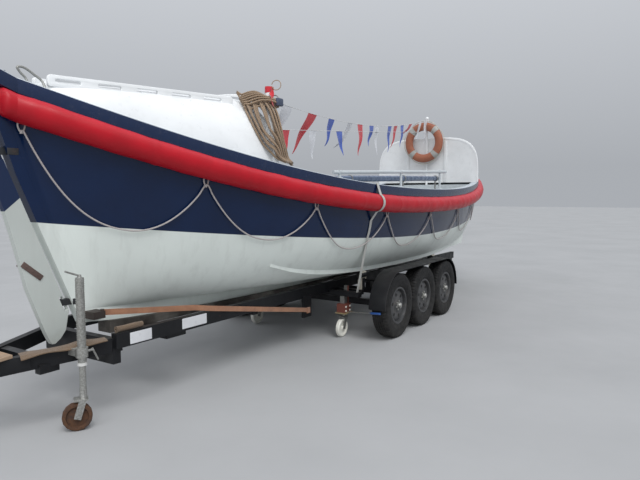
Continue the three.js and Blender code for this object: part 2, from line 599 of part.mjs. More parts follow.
addNode('life_ring', solidOf(lathe([...ringProfile, ringProfile[0]], 24).rotateZ(Math.PI / 2)
  .translate(FORE_POST.x - FORE_POST.r - ringReach - GAP, LIFE_RING.y, LIFE_RING.z)), RING_ORANGE);

// Blue oars stowed on the thwarts along each side
const OAR = { y: 690, from: -2400, to: 2250, r: 24 };
SIDES.forEach(([name, side]) => {
  const looms = [0, 62, 124].map((step) => {
    const y = side * (OAR.y + step);
    const z = THWART_TOP + OAR.r + GAP;
    return rod([OAR.from, y, z], [OAR.to, y, z], OAR.r, OAR.r, 10);
  });
  const ties = [-1500, 1300].map((x) =>
    box(x - 12, x + 12, side > 0 ? OAR.y - 20 : -OAR.y - 144, side > 0 ? OAR.y + 144 : -OAR.y + 20,
      THWART_TOP + OAR.r - 6, THWART_TOP + OAR.r + 8));
  addNode(`oars_${name}`, fuse(...looms, ...ties), OAR_BLUE);
});

// Trailer frame: two rails, cross-members, outriggers and the drawbar's two arms
const railZ = RAIL.top - RAIL.depth;
const STRAP_HOOK = { x: -2005, y: -495, z: 316 };
const CROSS_X = [
  // x, width
  [-3980, 220], [-2900, CROSS.width], [1250, CROSS.width], [RAIL.fore - 40, CROSS.width],
];
const OUTRIGGERS = [
  // x, half width
  [CASTOR.x, 890], [-1268, 820], [1130, 890],
];
const SUPPORT = { x: [-1215, 1130], y: 784, roller: 48, length: 110 };
const bilgeSupport = (x, side) => {
  const half = SUPPORT.length / 2;
  const z = Math.min(bilgeLow(x - half - 6), bilgeLow(x + half + 6)) - SUPPORT.roller - 2 * GAP - 0.2;
  const y = side * SUPPORT.y;
  return fuse(
    box(x - 48, x + 30, y - 30, y + 30, CROSS.top - 4, z - SUPPORT.roller + 6),
    box(x - half - 12, x + half + 12, y - 26, y + 26, z - SUPPORT.roller - 8, z - SUPPORT.roller + 8),
    ...[-1, 1].map((end) => box(x + end * (half + 6) - 6, x + end * (half + 6) + 6, y - 26, y + 26,
      z - SUPPORT.roller - 8, z + 14)),
    rod([x - half - 4, y, z], [x + half + 4, y, z], SUPPORT.roller, SUPPORT.roller, 20),
  );
};
const cutByHull = (solid) => solid.subtract(hullShell.translate([0, 0, -GAP * 1.5]));
const across = (x, width, half) => box(x - width / 2, x + width / 2, -half, half,
  CROSS.top - CROSS.depth, CROSS.top);
const armZ = (x) => ARM.rootZ + ((ARM.apexZ - ARM.rootZ) * (x - ARM.rootX)) / (APEX_X - ARM.rootX);
const armTop = (x) => armZ(x) + ARM.depth / 2 + 0.13;
const frameBars = fuse(
  ...[1, -1].map((side) => box(RAIL.aft, RAIL.fore, side * RAIL.y - RAIL.width / 2,
    side * RAIL.y + RAIL.width / 2, railZ, RAIL.top)),
  ...CROSS_X.map(([x, width]) => across(x, width, RAIL.y)),
  ...OUTRIGGERS.map(([x, half]) => across(x, CROSS.width, half)),
  box(RAIL.aft - 10, RAIL.aft + 60, -RAIL.y, RAIL.y, 337, 530),
  box(-5120, -4970, -282, -218, 360, armZ(-5045) - 30),
  box(STRAP_HOOK.x - 85, STRAP_HOOK.x + 85, STRAP_HOOK.y, -RAIL.y - 20, 235, railZ + 25),
  ...[1, -1].map((side) => beam([ARM.rootX, side * (RAIL.y - 8), ARM.rootZ],
    [APEX_X, side * 45, ARM.apexZ], ARM.width, ARM.depth)),
  box(-5160, -5090, -240, 240, armZ(-5125) - 35, armZ(-5125) + 45),
  box(APEX_X - 60, APEX_X + 80, -85, 85, ARM.apexZ - 54, ARM.apexZ + 54),
);
const frame = SUPPORT.x.flatMap((x) => [1, -1].map((side) => cutByHull(bilgeSupport(x, side))))
  .reduce((sum, support) => sum.add(support), frameBars);
addNode('trailer_frame', frame, BLACK_STEEL);
addNode('tow_coupling', fuse(
  box(APEX_X - 250, APEX_X - 60 - GAP, -45, 45, ARM.apexZ - 45, ARM.apexZ + 45),
  rod([APEX_X - 240, 0, ARM.apexZ], [COUPLING_X + 95, 0, ARM.apexZ], 42, 34),
  lathe([[38, -22], [92, -22], [92, 22], [38, 22], [38, -22]], 24).rotateX(Math.PI / 2)
    .translate(COUPLING_X + 92, 0, ARM.apexZ),
), BLACK_STEEL);

// Long timber bearer between the cross-members and the keel
const bearerRing = (x) => {
  const top = seatedKeel(x) - GAP;
  return [[x, 80, CROSS.top + GAP], [x, 80, top], [x, -80, top], [x, -80, CROSS.top + GAP]];
};
const bearerStations = [-4380, ...STATIONS.map((t) => hullX(t, heelZ(t)))
  .filter((x) => x > -4360 && x < RAIL.fore - 20), RAIL.fore];
addNode('keel_bearer', loft(bearerStations.map(bearerRing)), TIMBER);

// Axles, wheels and mudguards
const STUB = { r: 29.2, bore: 30, end: 1270 };
const WHEEL_SIDES = 24;
AXLE_X.forEach((x, i) => {
  const z = AXLE_Z;
  addNode(`axle_${i + 1}`, fuse(
    box(x - 35, x + 35, -1030, 1030, z - 35, z + 35),
    ...[1, -1].map((side) => box(x - 60, x + 60, side * RAIL.y - 40, side * RAIL.y + 40,
      z - 10, railZ - GAP)),
    ...[1, -1].map((side) => rod([x, side * 1020, z], [x, side * STUB.end, z],
      STUB.r, STUB.r, WHEEL_SIDES)),
  ), BLACK_STEEL);
});
const tyreProfile = (r, w, rim) => [[rim, -w * 0.36], [rim + 30, -w * 0.47], [r * 0.87, -w * 0.5],
  [r * 0.968, -w * 0.46], [r, -w * 0.38], [r, w * 0.38], [r * 0.968, w * 0.46], [r * 0.87, w * 0.5],
  [rim + 30, w * 0.47], [rim, w * 0.36], [rim, -w * 0.36]];
const rimProfile = [[STUB.bore, 66], [72, 66], [100, 58], [162, 60], [196, 42], [200, 84],
  [225.6, 84], [225.6, -84], [206, -84], [196, 24], [162, 42], [100, 40], [STUB.bore, 40],
  [STUB.bore, 66]];
AXLE_X.forEach((x, i) => SIDES.forEach(([name, side]) => {
  const wheel = new THREE.Group();
  wheel.position.set(x, side * TYRE.centreY, AXLE_Z);
  boat.add(wheel);
  addNode(`tyre_${name}_${i + 1}`,
    solidOf(lathe(tyreProfile(TYRE.radius, TYRE.width, TYRE.rim), WHEEL_SIDES)), RUBBER, wheel);
  const rim = lathe(rimProfile, WHEEL_SIDES);
  addNode(`rim_${name}_${i + 1}`, solidOf(side > 0 ? rim : mirrorY(rim)), PAINT_GREY, wheel);
}));

// Long mudguard over each row of wheels, on stays from the rail
const GUARD = { radius: 428, thick: 5, width: 216, stays: [-755, 45], stayZ: 520, stay: 10 };
const guardPath = (r) => {
  const arc = (x, from, to) => span(from, to, 6).map((deg) => {
    const a = (deg * Math.PI) / 180;
    return [x + r * Math.cos(a), AXLE_Z + r * Math.sin(a)];
  });
  return [...arc(AXLE_X[0], 180, 90), ...arc(AXLE_X[2], 90, 0)];
};
SIDES.forEach(([name, side]) => {
  const outline = [...guardPath(GUARD.radius + GUARD.thick), ...guardPath(GUARD.radius).reverse()];
  const shape = new THREE.Shape(outline.map(([x, z]) => new THREE.Vector2(x, z)));
  const guard = new THREE.ExtrudeGeometry(shape, { depth: GUARD.width, bevelEnabled: false })
    .rotateX(Math.PI / 2).translate(0, side * TYRE.centreY + GUARD.width / 2, 0);
  const inner = side * (TYRE.centreY - GUARD.width / 2);
  const upright = inner - side * (GUARD.stay - 1);
  const stays = GUARD.stays.flatMap((x) => [
    rod([x, side * (RAIL.y + RAIL.width / 2 + GAP), GUARD.stayZ], [x, upright, GUARD.stayZ],
      GUARD.stay, GUARD.stay, 8),
    rod([x, upright, GUARD.stayZ - GUARD.stay], [x, upright, AXLE_Z + GUARD.radius + 2],
      GUARD.stay, GUARD.stay, 8)]);
  addNode(`mudguard_${name}`, fuse(guard, ...stays), BLACK_STEEL);
});

// A swivelling fork and its wheel: local +X is the trail, the swivel stands on the local origin
const forkParts = (radius, width, trail, top) => {
  const y = width / 2 + 9;
  const crown = 2 * radius + 14;
  return {
    fork: fuse(
      rod([0, 0, crown + 6], [0, 0, top], 26),
      box(-34, trail + 22, -y - 3, y + 3, crown, crown + 14),
      ...[1, -1].map((side) => beam([4, side * y, crown + 6], [trail, side * y, radius - 12], 6, 50)),
      rod([trail, -y - 6, radius], [trail, y + 6, radius], 8),
    ),
    wheel: solidOf(lathe([[9, -width * 0.5], [26, -width * 0.5], [30, -width * 0.22],
      [radius * 0.72, -width * 0.2], [radius * 0.76, -width * 0.5], [radius * 0.94, -width * 0.5],
      [radius, -width * 0.32], [radius, width * 0.32], [radius * 0.94, width * 0.5],
      [radius * 0.76, width * 0.5], [radius * 0.72, width * 0.2], [30, width * 0.22],
      [26, width * 0.5], [9, width * 0.5], [9, -width * 0.5]], 16)).translate([trail, 0, radius]),
  };
};

// Jockey wheel on the starboard arm, wound down to the ground
const TUBE = { r: 30, low: 400, top: 1050, inner: 24, foot: 232 };
const jockey = new THREE.Group();
jockey.position.set(JOCKEY.x, JOCKEY.y, 0);
boat.add(jockey);
addNode('jockey_tube', fuse(
  rod([0, 0, TUBE.low], [0, 0, TUBE.top], TUBE.r, TUBE.r, 16),
  rod([0, 0, TUBE.foot], [0, 0, TUBE.low + 5], TUBE.inner, TUBE.inner, 16),
  rod([0, 0, TUBE.top], [0, 0, TUBE.top + 22], 16, 12),
  rod([0, 0, TUBE.top + 14], [-125, -20, TUBE.top + 60], 7),
), ZINC, jockey);
const swivel = new THREE.Group();
swivel.position.z = GROUND_Z;
swivel.rotation.z = (JOCKEY.turn * Math.PI) / 180;
jockey.add(swivel);
const jockeyParts = forkParts(JOCKEY.radius, JOCKEY.width, JOCKEY.trail, TUBE.foot - GROUND_Z - GAP);
addNode('jockey_fork', jockeyParts.fork, ZINC, swivel);
addNode('jockey_wheel', jockeyParts.wheel, RUSTY, swivel);
const clampRing = lathe([[TUBE.r + 0.7, -36], [44, -36], [44, 36], [TUBE.r + 0.7, 36],
  [TUBE.r + 0.7, -36]], 16).rotateX(Math.PI / 2).translate(JOCKEY.x, JOCKEY.y, 500);
addNode('jockey_clamp', fuse(
  clampRing,
  box(JOCKEY.x - 30, JOCKEY.x + 30, JOCKEY.y + 38, JOCKEY.y + 150, 468, 522),
  rod([JOCKEY.x + 42, JOCKEY.y, 500], [JOCKEY.x + 92, JOCKEY.y - 4, 500], 9),
  rod([JOCKEY.x + 84, JOCKEY.y - 4, 512], [JOCKEY.x + 128, JOCKEY.y - 8, 416], 7),
).subtract(frameBars.translate([0, -GAP, 0])).subtract(frameBars), ZINC);

// Castor leg under each end of the aft outrigger
const LEG = { seat: 212, rod: { out: 560, back: 130, rise: 57 }, grip: 0.76 };
SIDES.forEach(([name, side]) => {
  const leg = new THREE.Group();
  leg.position.set(CASTOR.x, side * CASTOR.y, 0);
  boat.add(leg);
  const { seat } = LEG;
  const alongRod = (f) => [-LEG.rod.back * f, side * LEG.rod.out * f, seat + 10 + LEG.rod.rise * f];
  addNode(`castor_leg_${name}`, fuse(
    box(-110, 70, Math.min(-side * 60, side * 82), Math.max(-side * 60, side * 82), seat, seat + 14),
    box(-95, 55, Math.min(-side * 46, side * 66), Math.max(-side * 46, side * 66), seat + 6, 330),
    box(-44, 32, -28, 28, 320, CROSS.top - CROSS.depth - GAP),
    box(40 + GAP, 80, -24, 24, seat + 4, 540),
    box(20, 60, -20, 20, seat + 4, seat + 70),
    rod(alongRod(0), alongRod(0.8), 7),
    rod(alongRod(LEG.grip), alongRod(1), 14),
  ), ZINC, leg);
  const turn = new THREE.Group();
  turn.position.z = GROUND_Z;
  turn.rotation.z = Math.PI;
  leg.add(turn);
  const parts = forkParts(CASTOR.radius, CASTOR.width, CASTOR.trail, seat - GROUND_Z - GAP);
  addNode(`castor_fork_${name}`, parts.fork, ZINC, turn);
  addNode(`castor_wheel_${name}`, parts.wheel, NYLON, turn);
});

// Webbing: a ribbon along a path, its width along one fixed direction
const ribbon = (points, wide, width, thick) => {
  const across = new THREE.Vector3(...wide);
  const at = points.map((p) => new THREE.Vector3(...p));
  return loft(at.map((p, i) => {
    const along = at[Math.min(i + 1, at.length - 1)].clone().sub(at[Math.max(i - 1, 0)]);
    const out = along.cross(across).normalize();
    return [[1, 1], [1, -1], [-1, -1], [-1, 1]].map(([w, n]) => p.clone()
      .addScaledVector(across, (w * width) / 2).addScaledVector(out, (n * thick) / 2).toArray());
  }));
};
const KEEL_STRAP = [[-4485, -150, 690], [-3740, -440, 634], [-3622, -491, 612],
  [STRAP_HOOK.x + 20, STRAP_HOOK.y - 5, STRAP_HOOK.z]];
addNode('keel_strap', fuse(
  ribbon(KEEL_STRAP, [0, 0, 1], 50, 4),
  box(-4590, -4480, -165, -KEEL_PLATE / 2 - GAP, 645, 705),
  rod([-4500, -150, 645], [-4500, -150, 718], 16),
  box(STRAP_HOOK.x - 20, STRAP_HOOK.x + 35, STRAP_HOOK.y - 16, STRAP_HOOK.y - GAP,
    STRAP_HOOK.z - 32, STRAP_HOOK.z + 32),
), WEBBING);

const tieSide = () => {
  const off = 4;
  const planking = [1150, 1210, 1280, 1360]
    .map((z) => [TIE_X, hullHalfAt(TIE_X, z) + off + 2.3, z]);
  const centre = [planHalf(TIE_X) + FENDER_STANDOFF, sheerZ(TIE_X) - FENDER_DROP];
  const round = span(-85, 58, 9).map((deg) => (deg * Math.PI) / 180).map((a) => [TIE_X,
    centre[0] + (FENDER_R + off + 1) * Math.cos(a),
    centre[1] + (FENDER_R + off + 1) * Math.sin(a)]);
  const edge = planHalf(TIE_X) + CAP_OUTSIDE + off;
  const top = seatZ(TIE_X) + CAP_THICK + off + 2;
  return [[-1484, 868, CROSS.top + 3], ...planking, ...round,
    [TIE_X, edge + 1, top - 6], [TIE_X, edge - 6, top + 1], [TIE_X, 300, top]];
};
const tie = tieSide();
addNode('tie_down_strap', ribbon([...tie, ...[...tie].reverse().map(([x, y, z]) => [x, -y, z])],
  [1, 0, 0], 50, 4), WEBBING);

// Soft pad and plank laid on the drawbar
const onArm = (x, y, thick, lift = GAP) => [x, y, armTop(x) + lift + thick / 2];
addNode('drawbar_carpet', solidOf(beam(onArm(-5210, -183, 12), onArm(-4660, -399, 12), 130, 12)),
  CARPET);
addNode('drawbar_plank', solidOf(beam(onArm(-5450, 0, 26, 1.2), onArm(-5260, 0, 26, 1.2), 380, 26)), TIMBER);

// The origin stands on the ground, halfway between the coupling and the stem
const STEM_X = postFaceX('fore', sheerZ(HALF_LENGTH) + POST_HEAD);
boat.position.set(-(STEM_X + COUPLING_X) / 2, 0, -GROUND_Z);

export default boat;
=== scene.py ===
"""A pulling and sailing lifeboat on its road trailer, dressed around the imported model.

Every length in the functions that follow the boat's own lines is in millimetres from amidships and
from the keel's datum, as the boat was drawn. The function placed() turns such points into the
frame's metres.
"""
import math
from collections import namedtuple

import bmesh
import bpy
import numpy as np
from mathutils import Matrix, Vector


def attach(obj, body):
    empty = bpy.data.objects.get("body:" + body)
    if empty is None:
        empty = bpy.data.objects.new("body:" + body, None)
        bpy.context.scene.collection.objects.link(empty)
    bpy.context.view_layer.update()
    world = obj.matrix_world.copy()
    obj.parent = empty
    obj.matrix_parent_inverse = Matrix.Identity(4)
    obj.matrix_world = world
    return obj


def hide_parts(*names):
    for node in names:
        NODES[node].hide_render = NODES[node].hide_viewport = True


bl_info = {
    "name": "Lifeboat on a road trailer",
    "version": (1, 0, 0),
    "blender": (4, 5, 0),
    "location": "3D View > Sidebar > Lifeboat",
    "description": "Builds the surfaces, ropes and cloth of a lifeboat on its trailer",
    "category": "Add Mesh",
}

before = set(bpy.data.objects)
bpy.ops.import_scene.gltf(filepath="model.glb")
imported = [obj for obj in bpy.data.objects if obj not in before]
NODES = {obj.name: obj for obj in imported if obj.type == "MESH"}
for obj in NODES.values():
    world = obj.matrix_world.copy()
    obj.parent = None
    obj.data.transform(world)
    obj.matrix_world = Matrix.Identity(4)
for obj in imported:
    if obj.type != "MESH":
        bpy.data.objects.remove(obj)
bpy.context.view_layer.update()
ROOT = "boat_and_trailer"
SIDES = (("port", 1), ("starboard", -1))

# Metres in a millimetre, and the place of the boat's own origin in the frame
MM = 0.001
SHIFT = np.array([0.35919, 0.0, 0.08])

# Lines of the boat. A pair is the value abaft amidships and the one before it.
HALF = 5145
PLAN_HALF = 1200
SHEER_MID = 1740
SHEER_RISE = (755, 560)
SHEER_POWER = (2.5, 2.1)
SHEER_END_SLOPE = (0.365, 0.228)
KEEL_BOTTOM = 517
KEEL_DEPTH = 115
KEEL_ROCKER = 106
KEEL_HALF = 4760
POST_HALF = 45
POST_REACH = (5250, 5240)
POST_RAKE = (0.42, 0.3)
POST_TURN_Z = (2120, 2000)
POST_SOFT = 200
CAP_THICK = 40
DECK_Z = 1180
WALL = 62
WELL = (-2940, 2730)
FENDER_DROP = 212
REACH = 5225

# Distances under which two points of a mesh are one, in new pieces and in the CAD's solids
SAME_POINT = 1e-6
SAME_CAD_POINT = 2e-5


def placed(points):
    """Millimetres of the boat's lines, divided into metres and moved by the frame's shift."""
    return np.asarray(points, float) * MM + SHIFT


def ends(x, aft, fore):
    """One value abaft amidships and another before it."""
    return np.where(np.asarray(x) < 0, aft, fore)


def sheer(x):
    """Height of the sheer: its least value plus a rise times a power of the distance amidships."""
    t = np.minimum(1, np.abs(x) / HALF)
    return SHEER_MID + ends(x, *SHEER_RISE) * t ** ends(x, *SHEER_POWER)


def plan_half(x):
    """Half breadth at the sheer: the greatest times one less a power of t, to a power near one."""
    t = np.minimum(1, np.abs(x) / HALF)
    return np.maximum(POST_HALF, PLAN_HALF * (1 - t ** 2.28) ** 0.92)


def heel(t):
    """Height of the planking's lower edge: a cubic rise of the keel towards both ends."""
    rise = np.abs(t * HALF * 0.9 / KEEL_HALF) ** 3
    return KEEL_BOTTOM + KEEL_ROCKER * rise + KEEL_DEPTH


def post_face(x, z):
    """Outer face of the sternpost or stem: its reach less the rake times a soft ramp under the
    turn. The soft ramp of d is half of d plus the root of d squared and the softness squared."""
    d = ends(x, *POST_TURN_Z) - z
    ramp = (d + np.sqrt(d * d + POST_SOFT ** 2)) / 2
    return np.sign(x) * (ends(x, *POST_REACH) - ends(x, *POST_RAKE) * ramp)


def hull_x(t, z):
    """Station t at height z, pushed to the post's inner face by the sixth power of t."""
    x = t * HALF
    inner = post_face(x, z) - post_face(x, sheer(x) - CAP_THICK)
    return x + np.abs(t) ** 6 * inner


def hull_half(t, z):
    """Half breadth of station t at z: a superellipse-like fill from the heel to the sheer, round
    amidships and sharp at the ends."""
    x = t * HALF
    low = heel(t)
    u = np.clip((z - low) / (sheer(x) - low), 0, 1)
    blend = np.abs(t) ** 2.2
    rise = 3.0 - 1.7 * blend
    turn = 3.2 - 2.1 * blend
    fill = (1 - (1 - u) ** rise) ** (1 / turn)
    return POST_HALF + (plan_half(x) - POST_HALF) * fill


def half_at(x, z):
    """Half breadth at a true x and z: thirty halvings on the station that reaches that x."""
    x, z = np.broadcast_arrays(np.asarray(x, float), np.asarray(z, float))
    low, high = np.full(x.shape, -1.0), np.full(x.shape, 1.0)
    for _ in range(30):
        mid = (low + high) / 2
        less = hull_x(mid, z) < x
        low, high = np.where(less, mid, low), np.where(less, high, mid)
    return hull_half((low + high) / 2, z)


def well_half(x, f):
    """Half breadth of the well at a share f of its height, straight between the deck and sheer."""
    top = hull_half(x / HALF, sheer(x)) - WALL
    low = hull_half(x / HALF, np.full_like(x, DECK_Z)) - WALL
    return low + (top - low) * f


# Lines and directions
def unit(vectors):
    """The same directions, each with a length of one."""
    vectors = np.asarray(vectors, float)
    return vectors / np.linalg.norm(vectors, axis=-1, keepdims=True)


def around(count):
    """Angles in even steps round a full turn, without the last, which is the first again."""
    return np.linspace(0, 2 * np.pi, count + 1)[:-1]


def points(x, y, z):
    """Points of three arrays, or of arrays and numbers, whose shapes can be stretched alike."""
    return np.stack(np.broadcast_arrays(x, y, z), -1)


def travelled(line):
    """Distance along a line to each of its points."""
    return np.concatenate([[0], np.cumsum(np.linalg.norm(np.diff(line, axis=0), axis=1))])


def even(line, n):
    """The same line with n points a like distance apart."""
    at = travelled(line)
    s = np.linspace(0, at[-1], n)
    return np.stack([np.interp(s, at, line[:, k]) for k in range(line.shape[1])], 1)


def through(path, n):
    """A smooth line of n even steps through the given points: each stretch is the cubic whose
    slope at a point is half the chord between that point's neighbours."""
    p = np.asarray(path, float)
    q = np.vstack([2 * p[0] - p[1], p, 2 * p[-1] - p[-2]])
    s = np.linspace(0, len(p) - 1, 8 * n)
    i = np.minimum(s.astype(int), len(p) - 2)
    f = (s - i)[:, None]
    a, b, c, d = q[i], q[i + 1], q[i + 2], q[i + 3]
    line = 0.5 * (2 * b + (c - a) * f + (2 * a - 5 * b + 4 * c - d) * f ** 2
                  + (3 * b - a - 3 * c + d) * f ** 3)
    return even(line, n)


# Meshes from whole arrays. A cloth's half thickness is in metres.
CLOTH_HALF = 0.0006


def mesh_of(points, faces, uv=None, finish=0):
    """A mesh of points in metres. One UV pair belongs to each face corner."""
    mesh = bpy.data.meshes.new("surface")
    mesh.from_pydata(points, [], faces)
    layer = mesh.uv_layers.new(name="UVMap")
    if uv is not None:
        layer.data.foreach_set("uv", np.asarray(uv, np.float32).ravel())
    count = len(mesh.polygons)
    mesh.polygons.foreach_set("material_index", np.broadcast_to(finish, count).astype(np.int32))
    mesh.polygons.foreach_set("use_smooth", np.ones(count, bool))
    return mesh


def surface(points, wrap_u=False, wrap_v=False, caps=False, finish=0, columns=None):
    """Rows of points (rows, columns, xyz) joined by quads. UV holds the mean lengths along the
    rows and columns in metres. columns gives one material number to each column of faces."""
    p = np.asarray(points, float)
    n, m = p.shape[:2]
    i, j = np.meshgrid(np.arange(n if wrap_u else n - 1), np.arange(m if wrap_v else m - 1),
                       indexing="ij")
    i, j = i.ravel(), j.ravel()
    a, b = (i + 1) % n, (j + 1) % m
    faces = np.stack([i * m + j, i * m + b, a * m + b, a * m + j], 1).tolist()
    step_u = np.linalg.norm(np.roll(p, -1, 0) - p, axis=2).mean(1)
    step_v = np.linalg.norm(np.roll(p, -1, 1) - p, axis=2).mean(0)
    u = np.concatenate([[0], np.cumsum(step_u)])
    v = np.concatenate([[0], np.cumsum(step_v)])
    uv = np.stack([u[i], v[j], u[i], v[j + 1], u[i + 1], v[j + 1], u[i + 1], v[j]], 1)
    uv = uv.reshape(-1, 2)
    numbers = np.full(len(faces), finish) if columns is None else np.asarray(columns)[j]
    if caps:
        faces += [list(range(m)), list(range((n - 1) * m, n * m))]
        uv = np.concatenate([uv, np.zeros((2 * m, 2))])
        numbers = np.concatenate([numbers, [numbers[0], numbers[-1]]])
    return mesh_of(p.reshape(-1, 3), faces, uv, numbers)


def tube(path, radius, sides, up=(0, 0, 1), wrap=False, strands=0, pitch=0.0, finish=0, flat=1.0):
    """A round section carried along a path. Its first axis is up made square to the tangent. With
    strands, the radius is a rounded lobe for each strand and the section turns once per pitch.
    flat is the share of the radius left across the first axis."""
    p = np.asarray(path, float)
    t = unit(np.roll(p, -1, 0) - np.roll(p, 1, 0) if wrap else np.gradient(p, axis=0))
    up = np.asarray(up, float)
    n = unit(up - (t @ up)[:, None] * t)
    b = np.cross(t, n)
    angle = around(sides)[None, :]
    turn = 2 * np.pi * travelled(p)[:, None] / pitch if pitch else np.zeros((len(p), 1))
    r = np.broadcast_to(np.asarray(radius, float).reshape(-1, 1), (len(p), sides))
    if strands:
        r = r * (0.8 + 0.2 * np.abs(np.cos(strands * angle / 2)))
    c, s = np.cos(angle + turn) * r, np.sin(angle + turn) * r * flat
    ring = p[:, None] + c[..., None] * n[:, None] + s[..., None] * b[:, None]
    return surface(ring, wrap_u=wrap, wrap_v=True, caps=not wrap, finish=finish)


def wire_ring(centre, first, second, radius, count=24, sides=8, finish=1):
    """A closed ring of round wire: the centre plus the cosine times one vector and the sine times
    another, all in millimetres."""
    a = around(count)[:, None]
    line = np.asarray(centre, float) + np.cos(a) * first + np.sin(a) * second
    return tube(placed(line), radius, sides, unit(np.cross(first, second)), wrap=True,
                finish=finish)


def lathe(profile, centre, axis, sides, finish=0, ripple=None, closed=True):
    """A profile of radius and height turned round an axis. ripple(angle, column) is added to the
    radius."""
    prof = np.asarray(profile, float)
    axis = unit(axis)
    first = unit(np.cross(axis, (0, 0, 1) if abs(axis[2]) < 0.9 else (1, 0, 0)))
    second = np.cross(axis, first)
    a = around(sides)
    r = np.broadcast_to(prof[:, 0], (sides, len(prof)))
    if ripple is not None:
        r = r + ripple(a[:, None], np.arange(len(prof))[None, :])
    ring = (np.asarray(centre, float) + prof[:, 1][None, :, None] * axis
            + r[..., None] * (np.cos(a)[:, None, None] * first + np.sin(a)[:, None, None] * second))
    return surface(ring, wrap_u=True, wrap_v=closed, finish=finish)


def rounded(corners, radius, steps=4):
    """A closed outline whose corners are quarter-like arcs: each corner is the parabola between
    the points that lie the radius before and after it."""
    c = np.asarray(corners, float)
    before, after = np.roll(c, 1, 0) - c, np.roll(c, -1, 0) - c
    lb, la = np.linalg.norm(before, axis=1), np.linalg.norm(after, axis=1)
    r = np.minimum(radius, np.minimum(lb, la) * 0.49)
    start = c + before / lb[:, None] * r[:, None]
    stop = c + after / la[:, None] * r[:, None]
    f = np.linspace(0, 1, steps + 1)[None, :, None]
    arc = (1 - f) ** 2 * start[:, None] + 2 * f * (1 - f) * c[:, None] + f ** 2 * stop[:, None]
    return arc.reshape(-1, c.shape[1])


def oblong(left, right, low, high, radius, steps=4):
    """A flat rounded outline between two upright and two level lines."""
    return rounded([[left, low], [right, low], [right, high], [left, high]], radius, steps)


def cloth(line, wide, normal, half, cup, steps):
    """A thin strip with two faces: each point of the line moved across by a share of the half
    width, and out by half the thickness. cup hollows it by the square of the share."""
    share = np.linspace(-1, 1, steps)
    across = np.concatenate([share, share[::-1]])[None, :, None]
    out = np.repeat([-CLOTH_HALF, CLOTH_HALF], steps)[None, :, None]
    return (line[:, None] + wide[:, None] * across * half[:, None]
            + normal[:, None] * (out + cup[:, None] * (across ** 2 - 1)))


def mesh_from(bm, name):
    """A mesh of a working mesh's faces, with at least an empty UV map. The other is freed."""
    mesh = bpy.data.meshes.new(name)
    bm.to_mesh(mesh)
    bm.free()
    if not mesh.uv_layers:
        mesh.uv_layers.new(name="UVMap")
    return mesh


def block(low, high, edge):
    """A box whose edges are rounded by the given width."""
    low, high = np.minimum(low, high), np.maximum(low, high)
    size = Vector(high - low)
    bm = bmesh.new()
    bmesh.ops.create_cube(bm, size=1)
    bmesh.ops.scale(bm, vec=size, verts=bm.verts)
    bmesh.ops.translate(bm, vec=Vector((low + high) / 2), verts=bm.verts)
    bmesh.ops.bevel(bm, geom=bm.edges[:], offset=min(edge, min(size) * 0.45), segments=2,
                    profile=0.5, affect="EDGES")
    return mesh_from(bm, "block")


def bar(start, stop, width, height, edge):
    """A block carried from one point to the other, its height as near upright as it can be."""
    a, b = Vector(start), Vector(stop)
    along = (b - a).normalized()
    side = Vector((0, 0, 1)).cross(along).normalized()
    mesh = block(np.array([0, -width / 2, -height / 2]),
                 np.array([(b - a).length, width / 2, height / 2]), edge)
    turn = Matrix((along, side, along.cross(side))).transposed().to_4x4()
    mesh.transform(Matrix.Translation(a) @ turn)
    return mesh


def plate(outlines, depth, edge, place):
    """Flat closed outlines, the first one the rim and the rest holes, given a thickness and a
    small rounded edge by a filled curve, made a mesh and moved by the matrix."""
    data = bpy.data.curves.new("plate", "CURVE")
    data.dimensions, data.fill_mode = "2D", "BOTH"
    data.extrude, data.bevel_depth, data.bevel_resolution = depth / 2 - edge, edge, 2
    data.offset = -edge
    for outline in outlines:
        spline = data.splines.new("POLY")
        spline.points.add(len(outline) - 1)
        spline.points.foreach_set("co", np.hstack([
            outline, np.zeros((len(outline), 1)), np.ones((len(outline), 1))]).ravel())
        spline.use_cyclic_u = True
    holder = bpy.data.objects.new("plate", data)
    bpy.context.scene.collection.objects.link(holder)
    bpy.context.view_layer.update()
    mesh = bpy.data.meshes.new_from_object(
        holder.evaluated_get(bpy.context.evaluated_depsgraph_get()))
    bpy.data.objects.remove(holder)
    if not mesh.uv_layers:
        mesh.uv_layers.new(name="UVMap")
    mesh.transform(place)
    return mesh


def dressed(name, mesh, finishes, angle, body, stands_for):
    """The object of a finished mesh, smooth but at edges over the angle, riding on its body."""
    for finish in finishes:
        mesh.materials.append(finish)
    mesh.polygons.foreach_set("use_smooth", np.ones(len(mesh.polygons), bool))
    mesh.set_sharp_from_angle(angle=math.radians(angle))
    thing = bpy.data.objects.new(name, mesh)
    bpy.context.scene.collection.objects.link(thing)
    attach(thing, body)
    if stands_for:
        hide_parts(*stands_for)
    return thing


def piece(name, meshes, finishes, body=ROOT, stands_for=(), angle=38):
    """Joins meshes into one object at the origin, with welded seams and faces outwards."""
    bm = bmesh.new()
    for mesh in meshes:
        bm.from_mesh(mesh)
        bpy.data.meshes.remove(mesh)
    bmesh.ops.remove_doubles(bm, verts=bm.verts, dist=SAME_POINT)
    bmesh.ops.dissolve_degenerate(bm, dist=SAME_POINT / 10, edges=bm.edges)
    bmesh.ops.recalc_face_normals(bm, faces=bm.faces)
    return dressed(name, mesh_from(bm, name), finishes, angle, body, stands_for)


